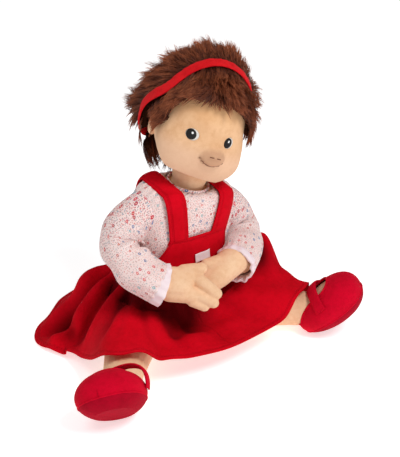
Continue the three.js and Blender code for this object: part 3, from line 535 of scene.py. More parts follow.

# %% [markdown]
# ## The head
# The head is a stuffed ball with full cheeks. A padded muzzle with a small nose is sewn on its front.
# The ball is a grid of directions; the muzzle lifts the grid where it lies. Sculpting would do as well,
# but here cheeks, chin and mouth stay tied to named sizes. Small marks on the points tint the muzzle and
# the face, and paint shade into the mouth's crease, under the chin and, in part, under the fringe.

# %% Head form
def head_point(direction, margin=0.0):
    x, y, z = np.moveaxis(direction, -1, 0)
    cheek = CHEEK * np.exp(-(((z + 0.45) / 0.32) ** 2)) * smoothstep(-y, -0.2, 0.7)
    jaw = JAW_DROP * smoothstep(-y, 0.2, 0.65) * smoothstep(-z, 0.15, 0.75)
    wide, deep, tall = HEAD_HALF
    spot = np.stack([x * (wide + cheek), y * deep - cheek * 0.3, z * tall - jaw], -1)
    outward = unit(direction / HEAD_HALF)
    return spot + outward * np.asarray(margin, float)[..., None]


def head_directions(rings, sides):
    polar = np.linspace(0, math.pi, rings)[:, None]
    angle = np.arange(sides)[None, :] * 2 * math.pi / sides
    wide = np.sin(polar)
    return np.stack([wide * np.sin(angle), -wide * np.cos(angle), -np.cos(polar) + 0 * angle], -1)


HEAD_RINGS, HEAD_SIDES = 120, 144
MUZZLE_SIDE, MUZZLE_LEVEL, MUZZLE_ABOVE = 10, -35, 13
SMILE_DROP, SMILE_CURVE = 12.5, 0.024
EYE_HOLLOW, EYE_HOLLOW_DEPTH = 15, 1.6
CHIN_SIDE, CHIN_RISE, JAW_CREASE, THROAT_DEPTH = 15, 7, -74, 9


def face_skin(points, directions):
    """Chin, muzzle and nose, mouth, eye hollows and throat; and the marks that tint them or paint shade
    on them.
    """
    ahead = -directions[..., 1]
    low = smoothstep(-points[..., 2], 25, 85) * smoothstep(ahead, -0.2, 0.4)
    low = low * smoothstep(points[..., 0], -60, 10)
    points = points + np.stack([CHIN_SIDE * low, 0 * low, CHIN_RISE * low], -1)
    x, z, front = points[..., 0], points[..., 2], smoothstep(ahead, 0.0, 0.3)
    across, rise = x - MUZZLE_SIDE, z - MUZZLE_LEVEL
    upright = np.where(rise > 0, rise / MUZZLE_ABOVE, rise / (SMILE_DROP + 1))
    pad = (across / MUZZLE_HALF_WIDTH) ** 2 + upright**2
    lift = MUZZLE_DEPTH * np.sqrt(np.clip(1.05 - pad, 0, 1)) + 1.5 * np.exp(-pad / 2)
    nose = (across / 12) ** 2 + ((rise - 7.5) / 5.5) ** 2
    lift = lift + 4.5 * np.sqrt(np.clip(1 - nose, 0, 1))
    smile = rise + SMILE_DROP - SMILE_CURVE * across**2
    crease = np.exp(-((smile / 1.6) ** 2)) * smoothstep(21 - np.abs(across), 0, 4) * front
    lift = lift - 2.6 * crease
    for side in (-1, 1):
        hollow = ((x - side * EYE_SPACING / 2) ** 2 + (z + EYE_DROP) ** 2) / EYE_HOLLOW**2
        lift = lift - EYE_HOLLOW_DEPTH * np.exp(-hollow)
    throat = smoothstep(JAW_CREASE - 0.1 * (x + 10) - z, 0, 9) * smoothstep(ahead, 0.1, 0.4)
    lift = lift - THROAT_DEPTH * throat
    grown = points + unit(directions * np.array([1, 1, 0.6])) * (lift * front)[..., None]
    # Marks: the muzzle pad greyer and the lower face paler; painted shade in the smile's crease and
    # under the chin at the throat; the upper face warmer and darker towards the hairline, partly as
    # painted shade under the fringe
    marks = {"pad": smoothstep(1.15 - pad, 0, 0.3) * front, "crease": crease, "throat": throat,
             "forehead_tone_and_shade": smoothstep(z, 0, 40) * front, "pale": smoothstep(-z, 12, 45) * front}
    return grown, marks


# Colour and strength of each mark on the face; the crease, the throat and part of the forehead's mark
# are painted shade
FACE_TONES_AND_SHADE = (("forehead_tone_and_shade", paint(228, 170, 112), 0.55), ("pale", paint(232, 192, 164), 0.6),
              ("pad", paint(200, 154, 122), 0.85), ("crease", paint(140, 92, 66), 0.85),
              ("throat", paint(222, 160, 134), 0.6))
face_velour = velour("face_velour", paint(236, 193, 152), paint(214, 162, 118), sheen=0.1,
                     tint=paint(255, 232, 206), marks=FACE_TONES_AND_SHADE)
directions = head_directions(HEAD_RINGS, HEAD_SIDES)
face, face_marks = face_skin(head_point(directions), directions)
head = grid_object("head_soft", on_head(face))
for mark, amount in face_marks.items():
    layer = head.data.attributes.new(mark, "FLOAT", "POINT")
    layer.data.foreach_set("value", amount.astype(np.float32).ravel())
form = bmesh.new()
form.from_mesh(head.data)
bmesh.ops.remove_doubles(form, verts=form.verts, dist=1e-5)
form.to_mesh(head.data)
form.free()
dress(face_outward(head), face_velour, "head", "skin", "head")
head_tree = BVHTree.FromPolygons([Vector(p) for p in face.reshape(-1, 3)],
                                 grid_faces(HEAD_RINGS, HEAD_SIDES))
print("head", len(head.data.polygons), "faces")

# %% [markdown]
# ## Eyes, nostrils and mouth
# The eyes are satin-stitched: a dark disc with a pale rim that is wider on one side, and a small
# white glint. Each is a thin domed patch laid on the face, with flat coordinates for its rings. The
# stitches are too fine to model one by one, so they are a bump. The mouth and the nostrils are single
# threads, laid on the face by rays.

# %% Thread on the face
def on_face(x, z, lift=0.0):
    """The place on the face at that x and z, lifted off the skin."""
    hit = head_tree.ray_cast(Vector((x, -200, z)), Vector((0, 1, 0)))[0]
    return np.array(hit) + np.array([0, -lift, 0])


def eye_finish():
    made = Finish("stitched_eye", roughness=0.55, specular=0.3)
    flat = made.flat()
    x, y = made.part(flat, 0), made.part(flat, 1)

    def disc(cx, cy, rx, ry):
        across, rise = (x - cx) / rx, (y - cy) / ry
        return 1 - (across * across + rise * rise).step(0.9, 1.1)

    thread = made.noise(0.5, 1)
    rim = made.mix(thread * 0.5, paint(240, 236, 230), paint(204, 196, 188))
    dark = made.mix(thread * 0.4, paint(9, 7, 8), paint(34, 27, 26))
    eye = made.mix(disc(-0.0019, 0.0, 0.0070, 0.0078), rim, dark)
    made.colour(made.mix(disc(-0.0008, 0.0026, 0.0015, 0.0017), eye, paint(252, 252, 250)))
    made.bump(x.math("SINE", y * 9000) + thread, 0.12)
    return made


stitched_eye = eye_finish()
EYE_WIDE, EYE_TALL = {"right": EYE_RADIUS + 2.0, "left": EYE_RADIUS + 0.4}, EYE_RADIUS + 1.0
EYE_DOME, EYE_RINGS, EYE_SIDES = 2.2, 8, 40
brown_thread = Finish("brown_thread", 0.8).colour(paint(122, 78, 58))
for name, side in SIDES.items():
    share = np.linspace(0.02, 1, EYE_RINGS)[:, None]
    angle = np.arange(EYE_SIDES)[None, :] * 2 * math.pi / EYE_SIDES
    wide, tall = EYE_WIDE[name] * share * np.cos(angle), EYE_TALL * share * np.sin(angle)
    domed = EYE_DOME * np.sqrt(np.maximum(1 - share[:, 0] ** 2, 0)) + 0.1
    middle = side * EYE_SPACING / 2
    patch = np.array([[on_face(middle + w, -EYE_DROP + t, high) for w, t in zip(ring_w, ring_t)]
                      for ring_w, ring_t, high in zip(wide, tall, domed)])
    flat = np.stack([wide, tall], -1) / 1000
    eye = grid_object(f"{name}_eye_soft", on_head(patch), caps=True, uv=flat)
    dress(eye, stitched_eye, "head", "stitch", f"{name}_eye")
across = np.linspace(-18, 18, 37)
smile = [on_face(MUZZLE_SIDE + x, MUZZLE_LEVEL - SMILE_DROP + SMILE_CURVE * x * x, 0.3) for x in across]
dress(tube_object("mouth_thread", on_head(np.array(smile)), 0.75), brown_thread, "head", "stitch")
for name, side in SIDES.items():
    nostril = [on_face(MUZZLE_SIDE + side * x, MUZZLE_LEVEL + 4.2 - 0.12 * x, 0.4)
               for x in np.linspace(2.4, 8.5, 9)]
    thread = tube_object(f"{name}_nostril", on_head(np.array(nostril)), 0.8)
    dress(thread, brown_thread, "head", "stitch")
print("eyes, mouth and nostrils on the face")

# %% [markdown]
# ## Ears
# An ear is a small stuffed bean, sewn flat against the head, with a hollow on its outer face. A
# squashed ball with one dent is enough, because a sewn bean has no sharp edge.

# %% Ears
EAR_HALF_HEIGHT, EAR_HALF_DEPTH, EAR_THICKNESS, EAR_DROP, EAR_BACK = 16, 10, 9, 28, 0
for name, side in SIDES.items():
    way = head_directions(24, 36)
    ear = way * np.array([EAR_THICKNESS, EAR_HALF_DEPTH, EAR_HALF_HEIGHT])
    dent = np.exp(-((ear[..., 1] / 4.5) ** 2 + (ear[..., 2] / 9) ** 2)) * (way[..., 0] * side > 0)
    ear[..., 0] -= side * 4.5 * dent
    ear = ear + np.array([side * (HEAD_HALF[0] - 0.5), EAR_BACK, -EAR_DROP])
    piece = face_outward(grid_object(f"{name}_ear_soft", on_head(ear)))
    dress(piece, skin, "head", "skin", f"{name}_ear")
print("ears sewn on")

# %% [markdown]
# ## Headband
# The headband is a folded tube of red jersey. It runs over the crown, behind the ears and down to
# the nape, pressed a little into the fur. Its ribbon is swept along that way with a rounded section.
# A bevelled curve would be quicker, but it would twist; here each section is set square to the head.

# %% Headband
def hair_depth(direction):
    behind = smoothstep(direction[..., 1], -0.3, 0.6)
    crown = smoothstep(direction[..., 2], -0.3, 0.5)
    return HAIR_THICKNESS + HAIR_BACK_FULLNESS * behind * (1 - 0.8 * crown)


BAND_LIFT, BAND_SUNK_LIFT, BAND_SIDE_LIFT = 10.0, 4.5, 13.0


def band_way(around):
    """The band's way over the head, its height over the skin, and where fur hides it."""
    down = (1 - np.cos(around)) / 2
    back = -BAND_FORWARD + (0.9 + BAND_FORWARD) * down**2.5
    back = back + 0.1 * hump(down, 0.6, 0.2) - 0.06 * hump(down, 0.45, 0.15)
    shown = np.sin(around) < 0
    low = np.where(shown, 0.24 * hump(down, 0.8, 0.17), 0)
    way = unit(np.stack([np.sin(around), back, 1 - 1.55 * down - low], -1))
    hidden = np.where(shown, smoothstep(down, 0.86, 0.97), smoothstep(down, 0.14, 0.3))
    full = BAND_LIFT + np.where(shown, BAND_SIDE_LIFT * hump(down, 0.7, 0.22), 0)
    return way, full + (BAND_SUNK_LIFT - full) * hidden, hidden


BAND_STEPS = 160
band_around = np.arange(BAND_STEPS) * 2 * math.pi / BAND_STEPS
band_direction, band_lift, band_hidden = band_way(band_around)
band_path = head_point(band_direction, band_lift)
band_along = unit(np.roll(band_path, -1, 0) - np.roll(band_path, 1, 0))
band_out = unit(band_direction / HEAD_HALF)
band_side = unit(np.cross(band_along, band_out))
band_out = np.cross(band_side, band_along)
BAND_SHOWN, BAND_SIDES = BAND_WIDTH + 2.5, 20
section = np.arange(BAND_SIDES) * 2 * math.pi / BAND_SIDES
across = np.sign(np.cos(section)) * np.abs(np.cos(section)) ** 0.6 * BAND_SHOWN / 2
raised = np.sign(np.sin(section)) * np.abs(np.sin(section)) ** 0.6 * 1.7 - 0.4
ruck = 0.45 * np.sin(band_around * 34 + 2 * np.sin(band_around * 9))[:, None] * (raised > 0)[None, :]
ribbon = (band_path[:, None] + band_side[:, None] * across[None, :, None]
          + band_out[:, None] * (raised[None, :] + ruck)[..., None])
ribbon = np.concatenate([ribbon, ribbon[:1]])
headband = face_outward(grid_object("headband_soft", on_head(ribbon)))
dress(headband, band_red, "head", "band", "headband")
BAND_LENGTH = float(np.linalg.norm(np.roll(band_path, -1, 0) - band_path, axis=1).sum()) / 1000
print("headband length", round(BAND_LENGTH, 3), "m")

# %% [markdown]
# ## Faux-fur hair
# The fur is a knitted backing that lies on the head, with pile on it. The backing is a cap with
# openings for the face and the ears. It could be shrunk onto the head from a loose sheet, but that
# wrinkles. So it is cut from a grid round the head: faces are kept only where fur grows, and the rim
# is drawn in towards the skin so that no open edge shows.

# %% Fur backing
bezier = np.linspace(0, 1, 60)
fringe_x = FRINGE_HALF_WIDTH * ((1 - bezier) ** 3 + 3 * (1 - bezier) ** 2 * bezier
                                - 3 * (1 - bezier) * bezier**2 - bezier**3)
fringe_z = FRINGE_HEIGHT * (3 * (1 - bezier) ** 2 * bezier + 3 * 1.6 * (1 - bezier) * bezier**2)


def hair_grows(p):
    """True where fur grows on the head: not on the face, in front of the ears or below the nape."""
    x, y, z = np.moveaxis(p, -1, 0)
    fringe = np.interp(x, fringe_x[::-1], fringe_z[::-1])
    face_window = (y < -2) & (np.abs(x) < FRINGE_HALF_WIDTH) & (z < fringe)
    side_window = (y < 14) & (z < np.where(x > 0, 0, -8))
    ear = ((y - EAR_BACK) / 14) ** 2 + ((z + EAR_DROP) / 20) ** 2 < 1
    nape = (z < -66) | ((z < -40) & (np.abs(x) > 46))
    return ~(face_window | side_window | nape | (ear & (x < -40)))


def across_band(spots):
    """Distance of each place from the band's middle line, positive in front, and the nearest step."""
    gaps = spots[:, None] - band_path[None]
    near = np.argmin((gaps**2).sum(-1), axis=1)
    return (gaps[np.arange(len(spots)), near] * band_side[near]).sum(-1), near


def backing_height(way):
    """The backing lies half way up the fur, and lower where the band presses it."""
    off, near = across_band(head_point(way.reshape(-1, 3), 6.0 + 0 * way.reshape(-1, 3)[:, 0]))
    pressed = 1 - smoothstep(np.abs(off), 4, 26).reshape(way.shape[:-1])
    full = 0.5 * hair_depth(way)
    return full + (np.minimum(full, (band_lift[near] - 2.4).reshape(full.shape)) - full) * pressed


CAP_RINGS, CAP_SIDES, RIM_DRAWN_IN = 110, 150, 0.9
cap_way = head_directions(CAP_RINGS, CAP_SIDES)
cap_skin = head_point(cap_way, 0.8)
cap_top = head_point(cap_way, backing_height(cap_way))
grows = hair_grows(cap_skin)
faces = [f for f in grid_faces(CAP_RINGS, CAP_SIDES) if all(grows.reshape(-1)[i] for i in f)]
form = bmesh.new()
spots = [form.verts.new(Vector((p + SHIFT) / 1000)) for p in on_head(cap_top).reshape(-1, 3)]
for f in faces:
    form.faces.new([spots[i] for i in f])
bmesh.ops.delete(form, geom=[v for v in form.verts if not v.link_faces], context="VERTS")
bmesh.ops.remove_doubles(form, verts=form.verts, dist=1e-5)
rim = [e for e in form.edges if e.is_boundary]
skirted = bmesh.ops.extrude_edge_only(form, edges=rim)["geom"]
middle = Vector((on_head(np.zeros(3)) + SHIFT) / 1000)
for v in (g for g in skirted if isinstance(g, bmesh.types.BMVert)):
    v.co = middle + (v.co - middle) * RIM_DRAWN_IN
bmesh.ops.recalc_face_normals(form, faces=form.faces)
backing_mesh = bpy.data.meshes.new("hair_backing")
form.to_mesh(backing_mesh)
form.free()
backing_mesh.shade_smooth()
backing = bpy.data.objects.new("hair_backing", backing_mesh)
scene.collection.objects.link(backing)
# The backing's dark brown is painted shade deep in the pile
backing_cloth = velour("fur_backing", paint(52, 24, 10), paint(36, 14, 4), 1.2, 0.0)
dress(backing, backing_cloth, "head", "hair", "hair_cap")
print("backing", len(backing_mesh.polygons), "faces")

# %% [markdown]
# The pile is thousands of thin tapered strands in small tufts: all strands of a tuft lean to one tip,
# which gives the spiky look of combed fur. In front of the band they are combed over the forehead and
# to both sides of a parting, behind it down and back, and at the nape straight down. A hair system
# could do this too, but plain meshes keep their shape in any program.

# %% Combing the fur
FRONT_LENGTH, BACK_LENGTH, CROWN_LENGTH, NAPE_LENGTH = 34.0, 46.0, 36.0, 44.0
TUFTS, PARTING = 5600, -6.0
dice = np.random.default_rng(11)


def tuft_roots():
    """Even places over the head, from a golden spiral, kept where fur grows."""
    number = np.arange(TUFTS)
    z = 1 - 2 * (number + 0.5) / TUFTS
    around = number * math.pi * (3 - math.sqrt(5))
    wide = np.sqrt(1 - z * z)
    spiral = np.stack([wide * np.sin(around), -wide * np.cos(around), z], -1)
    way = unit(spiral + dice.normal(0, 0.012, (TUFTS, 3)))
    return way[hair_grows(head_point(way, 0.8))]


def combing(one, off, near):
    """The way a tuft is combed, how long it is and how steeply it stands."""
    spot = head_point(one, 0.8)
    above = spot[2] - np.interp(spot[0], fringe_x[::-1], fringe_z[::-1])
    side = math.tanh((spot[0] - PARTING) / 16)
    if off > 0 and one[1] > 0.2:
        return np.array([0.25 * np.sign(one[0]), 0.2, -1.0]), NAPE_LENGTH, 20, 0.0
    if off > 0:
        edge = float(1 - smoothstep(above, 4, 40))
        aside = np.array([side * (0.35 + 0.75 * edge), 0, -0.12 - 0.2 * edge])
        comb = band_side[near] * (1 - 0.55 * edge) + aside
        if side > 0:
            comb = comb + np.array([0.25, 0, 0.12]) * edge
        return comb, FRONT_LENGTH * (1 - 0.2 * edge), 40 - 4 * edge, edge
    back = max(float(one[1]), 0.0)
    crown = float(smoothstep(one[2], 0.45, 0.9))
    comb = -band_side[near] + np.array([0, 0, -0.75 * smoothstep(-off, 25, 90) * (1 - crown)])
    comb = comb + np.array([0.3 * np.sign(one[0]), 0, 0]) * (1 - crown)
    length = CROWN_LENGTH + (BACK_LENGTH - CROWN_LENGTH) * back
    flank = float(smoothstep(abs(one[0]), 0.35, 0.8)) * (1 - crown)
    comb = comb + np.array([0.5 * np.sign(one[0]), 0, -1.15]) * flank
    return comb, length * (1 + 0.12 * flank), 27 + 10 * back + 9 * crown + 14 * flank, 0.0


ways = tuft_roots()
print("tufts", len(ways))

# %% [markdown]
# Each strand is a thin three-sided tube that tapers and droops. Its tint and the place along it are kept
# on its points, so that one material paints every strand dark at the root, as shade deep in the pile,
# and pale at the tip, as a painted highlight.

# %% Fur pile
TUFT_STRANDS, STRAND_RINGS, STRAND_HALF, TUFT_SPREAD = 11, 6, 0.5, 2.3


def pile(ways):
    """The strands of all tufts: a path, two directions across it and a tint."""
    heights = backing_height(ways)
    offs, nears = across_band(head_point(ways, heights))
    strands = []
    for one, height, off, near in zip(ways, heights, offs, nears):
        shown = band_hidden[near] < 0.5
        if shown and abs(off) < BAND_SHOWN * 0.36:
            continue
        outward = unit(one / HEAD_HALF)
        root = head_point(one, height - 1.0)
        comb, length, stand, edge = combing(one, off, near)
        clump = math.sin(9 * one[0] + 5 * one[2] + 1) * math.cos(8 * one[1] - 6 * one[2])
        swirl = math.sin(13 * one[0] - 7 * one[2] + 2) * math.cos(11 * one[1] + 3 * one[2])
        comb = unit(comb - outward * float(comb @ outward))
        comb = unit(comb + np.cross(outward, comb) * (0.4 * swirl + dice.normal(0, 0.16)))
        sideways = np.cross(outward, comb)
        length = length * (1 + 0.25 * clump) * dice.uniform(0.8, 1.15)
        pressed = smoothstep(abs(off), BAND_WIDTH * 0.3, BAND_WIDTH * 1.5) if shown else 1.0
        lift = math.radians(max(dice.normal(stand + 7 * clump, 7), 8)) * (0.55 + 0.45 * float(pressed))
        tint = 0.48 + 0.4 * clump + dice.normal(0, 0.2)
        gather = dice.uniform(0.5, 0.95)
        droop = 0.26 + 0.12 * edge
        for _ in range(TUFT_STRANDS):
            shift = dice.normal(0, TUFT_SPREAD, 2)
            start = root + sideways * shift[0] + comb * shift[1]
            own = length * dice.uniform(0.68, 1.1)
            t = np.linspace(0, 1, STRAND_RINGS)[:, None]
            rise = own * (math.sin(lift) * t - droop * t * t)
            run = own * math.cos(lift) * (t - 0.08 * t * t)
            bend = sideways * (dice.normal(0, 1.6) - shift[0] * gather) * t * t
            path = start + outward * rise + comb * run + bend
            own_tint = float(np.clip(tint + dice.normal(0, 0.15), 0, 1))
            strands.append((path, sideways, outward, own_tint))
    return strands


strands = pile(ways)
taper = np.array([1.0, 1.0, 0.9, 0.72, 0.45, 0.05])[:, None, None] * STRAND_HALF
points, faces, tints = [], [], []
for path, sideways, outward, tint in strands:
    corners = np.array([sideways, -0.5 * sideways + 0.8 * outward, -0.5 * sideways - 0.8 * outward])
    first = len(points) * 3 * STRAND_RINGS
    points.append((path[:, None] + corners[None] * taper).reshape(-1, 3))
    faces.extend(grid_faces(STRAND_RINGS, 3, first=first))
    ring_marks = [np.full(STRAND_RINGS, tint), np.linspace(0, 1, STRAND_RINGS), np.zeros(STRAND_RINGS)]
    tints.append(np.repeat(np.stack(ring_marks, -1), 3, axis=0))
fur = mesh_object("hair_pile", on_head(np.concatenate(points)), faces)
layer = fur.data.attributes.new("strand", "FLOAT_VECTOR", "POINT")
layer.data.foreach_set("vector", np.concatenate(tints).astype(np.float32).ravel())
fur_finish = Finish("fur_pile", roughness=0.42, sheen=0.0, specular=0.32)
strand = fur_finish.node("ShaderNodeAttribute", {"attribute_name": "strand"}, output="Vector")
tint, along = fur_finish.part(strand, 0), fur_finish.part(strand, 1)
# Painted shade at the roots and a painted highlight at the tips; each tuft's own tint shifts both
deep = fur_finish.mix(tint, paint(52, 18, 6), paint(96, 40, 16))
tips = fur_finish.mix(tint, paint(112, 50, 24), paint(184, 104, 66))
fur_finish.colour(fur_finish.mix(along.step(0.15, 0.95), deep, tips))
fur_finish.rough(0.4 + 0.15 * tint)
dress(fur, fur_finish, "head", "hair", "hair_cap")
print("strands", len(strands), "faces", len(fur.data.polygons))

# %% [markdown]
# ## The blouse body
# The torso's girth is a curve of half widths and half depths up the body. Cloth on it lies a set
# margin outside. Soft folds run down from the neckband, where the cotton is gathered. A cloth
# simulation could drape it, but its folds would fall elsewhere after each change of size.

# %% Blouse on the torso
SQUARENESS, BLOUSE_THICK = 0.78, 1.2
girth_t = np.linspace(0, 1, 2001)
girth_table = spline(TORSO_GIRTHS, girth_t)


def torso_point(height, angle, margin):
    """A place on the torso's rounded-square girth, a margin outside it."""
    t = np.interp(height, girth_table[:, 2], girth_t)
    girth = spline(TORSO_GIRTHS, t)
    above, below = np.minimum(t + 0.002, 1), np.maximum(t - 0.002, 0)
    slope = spline(TORSO_GIRTHS, above) - spline(TORSO_GIRTHS, below)
    outward = unit(np.stack([slope[..., 2], -(slope[..., 0] + slope[..., 1]) / 2], -1))
    wide = girth[..., 0] + margin * outward[..., 0]
    deep = girth[..., 1] + margin * outward[..., 0]
    across, ahead = (np.sign(r) * np.abs(r) ** SQUARENESS for r in (np.sin(angle), np.cos(angle)))
    return np.stack([wide * across, -deep * ahead, girth[..., 2] + margin * outward[..., 1]], -1)


def cloth_declared(piece, grid):
    """Prints a cloth's own flat size: its widest row, its mean column and its area."""
    rows = np.linalg.norm(np.diff(grid, axis=1), axis=2).sum(axis=1) / 1000
    columns = np.linalg.norm(np.diff(grid, axis=0), axis=2).sum(axis=0) / 1000
    width, length = float(rows.max()), float(columns.mean())
    area = min(surface_area(piece), width * length)
    print(piece.name, "flat", round(width, 3), "x", round(length, 3), "m, area", round(area, 4), "m2")


rise = np.concatenate([np.linspace(BODICE_FOOT + 3, 240, 40),
                       np.linspace(242, TORSO_HEIGHT - 0.2, 26)])[:, None]
angle = np.linspace(-math.pi, math.pi, 145)[None, :]
gathers = 1.1 * np.sin(angle * 26) * hump(rise, 266, 14)
soft = 1.2 * np.sin(angle * 5 + rise * 0.05) * hump(rise, 200, 40)
rise, angle = rise + 0 * angle, angle + 0 * rise
plain_x = np.abs(torso_point(rise, angle, GAP + CLOTH)[..., 0])
under_strap = hump(plain_x, 50, 16) * smoothstep(rise, 190, 215)
folds = np.maximum(gathers + soft, -1.0) * (1 - under_strap) - 1.2 * under_strap
blouse_grid = torso_point(rise, angle, GAP + CLOTH + folds)
blouse = grid_object("blouse_body_soft", on_body(blouse_grid), closed=False)
dress(thicken(face_outward(blouse), BLOUSE_THICK), cotton, "torso", "blouse", "blouse_body")
cloth_declared(blouse, blouse_grid)

# %% [markdown]
# The neckband is a strip of the same cotton, folded double and sewn round the neck hole. Drawn as one
# closed loop in section, it shows its fold without two layers of cloth.

# %% Neckband
round_neck = np.linspace(0, 2 * math.pi, 97)
roll = np.linspace(0, 2 * math.pi, 15)
radius = NECK_HOLE + 3.1 + 1.9 * np.cos(roll)[:, None] + 0.35 * np.sin(round_neck * 30)[None, :]
level = TORSO_HEIGHT + 1.5 + NECKBAND * 0.62 * np.sin(roll)[:, None] + 0 * round_neck
band_grid = np.stack([radius * np.sin(round_neck), -radius * np.cos(round_neck), level], -1)
neckband = grid_object("neckband_soft", on_body(band_grid), closed=False)
dress(face_outward(neckband), cotton, "torso", "blouse", "neckband")
print("neckband ready")

# %% [markdown]
# ## The pinafore's bodice and straps
# The bodice is a band round the waist that rises to a bib in front and behind. Its upper edge is
# turned in and topstitched. Each column of its grid runs from the waist seam to that edge, so the
# edge itself is smooth, and a fold's dark row of stitches can follow it.

# %% Bodice
def edge_finish(name, base, shade, tint, inset_mm, marks=()):
    """Velour with a row of topstitching at a set distance from the edge, where the flat v is zero."""
    made = velour(name, base, shade, 0.8, 0.03, tint, 0.35, marks)
    flat = made.flat()
    u, v = made.part(flat, 0), made.part(flat, 1)
    away = v.math("ABSOLUTE", v - inset_mm / 1000)
    row = 1 - away.step(0.0002, 0.0011)
    dash = u.math("SINE", u * (2 * math.pi / 0.0042)).step(-0.5, 0.2)
    stitch = row * dash
    nap = made.noise(0.8, 1)
    made.colour(made.mix(stitch * 0.35, made.ground, paint(150, 4, 18)))
    fold = (1 - away.step(0.0004, 0.003)) * -2.0
    made.bump(nap * 0.4 + made.noise(2.6, 2) * 0.35 + fold + stitch * 0.8, 0.6)
    return made


red_edged = edge_finish("red_velour_edged", RED, RED_SHADE, RED_BLOOM, 5)
BIB_RISE, BIB_SKEW, BODICE_ROWS, BODICE_THICK = 11, 0.14, 40, 2.2


def bodice_top(x):
    """Height of the bodice's upper edge: the bib in the middle, curving down to the sides."""
    out = smoothstep(np.abs(x), BIB_HALF - 4, BIB_HALF + 26)
    top = BIB_TOP + BIB_RISE + BIB_SKEW * x
    return top + (BODICE_SIDE_TOP - top) * out ** 0.7


turn_round = np.linspace(-math.pi, math.pi, 289)
tops = np.full(len(turn_round), float(BIB_TOP))
for _ in range(8):
    tops = bodice_top(torso_point(tops, turn_round, 6)[:, 0])
share = np.linspace(0, 1, BODICE_ROWS)[:, None]
levels = tops[None, :] + (BODICE_FOOT - 1 - tops[None, :]) * share
hand_folds = 1.0 * np.sin(turn_round * 7 + 1)[None, :] * hump(share, 0.6, 0.3)
waist_gather = 0.9 * np.sin(turn_round * 46)[None, :] * hump(share, 1.0, 0.12)
puffed = 1.2 * np.sqrt(np.clip(1 - ((share - 0.03) / 0.03) ** 2, 0, 1)) * (share < 0.06)
bodice_grid = torso_point(levels, turn_round[None, :] + 0 * share,
                          GAP * 2 + CLOTH * 2 + 0.4 + hand_folds + waist_gather + puffed)
down = (tops[None, :] - levels) / 1000
along = np.concatenate([[0], np.cumsum(np.linalg.norm(np.diff(bodice_grid[0], axis=0), axis=1))]) / 1000
bodice_flat = np.stack([np.broadcast_to(along[None, :], down.shape), down], -1)
bodice = grid_object("dress_bodice_soft", on_body(bodice_grid), closed=False, uv=bodice_flat)
dress(thicken(face_outward(bodice), BODICE_THICK), red_edged, "torso", "dress", "dress_bodice")
cloth_declared(bodice, bodice_grid)

# %% [markdown]
# A strap lies on the shoulder, from the bib in front to the bodice behind. A shrinkwrap modifier could
# lay it down, but it would flatten the strap. Rays thrown at the dressed torso find the way instead,
# and leave plain points.

# %% Shoulder rays
DRESSED_ROWS = 260
levels = np.linspace(60, TORSO_HEIGHT - 0.1, DRESSED_ROWS)[:, None] + 0 * turn_round[None, :]
dressed = torso_point(levels, turn_round[None, :] + 0 * levels, GAP + CLOTH + 0.8)
dressed_tree = BVHTree.FromPolygons([Vector(p) for p in dressed.reshape(-1, 3)],
                                    grid_faces(DRESSED_ROWS, len(turn_round), closed=False))
STRAP_CENTRE, STRAP_TOP = 190, TORSO_HEIGHT + STRAP_WIDTH


def on_shoulder(x, around):
    """Where a ray in the plane of that x meets the dressed torso; around 0 is straight up."""
    away = Vector((0, -math.sin(around), math.cos(around)))
    hit = dressed_tree.ray_cast(Vector((x, 0, STRAP_CENTRE)) + away * 200, -away)[0]
    return np.array(hit) if hit else None


print("shoulder top at", on_shoulder(BIB_HALF, 0).round(1))

# %% [markdown]
# Each row of a strap is lifted off the cloth. It stands highest on the shoulder, and both its ends
# sink under the bib's edge, as they are sewn in there. The flat coordinates count from both edges, so
# that the topstitching runs along each of them.

# %% Straps
# Width of each strap, and how far it spreads outwards up to the shoulder
STRAP_FULL = {"right": (31, 20), "left": (32, 15)}
STRAP_COLUMNS, STRAP_STEPS, STRAP_SWING, STRAP_THICK = 13, 90, math.radians(97), 2.4


def strap_row(around, side, strap_width, strap_spread):
    """One row of a strap over the shoulder, or nothing where a ray misses the torso."""
    row, level = [], BIB_TOP
    for part in np.linspace(0, 1, STRAP_COLUMNS):
        for _ in range(4):
            out = strap_spread * np.clip((level - BIB_TOP) / (STRAP_TOP - BIB_TOP), 0, 1)
            spot = on_shoulder(side * (BIB_HALF - strap_width * (1 - part) + out - 0.5), around)
            if spot is None:
                return None
            level = spot[2]
        row.append(spot)
    return row


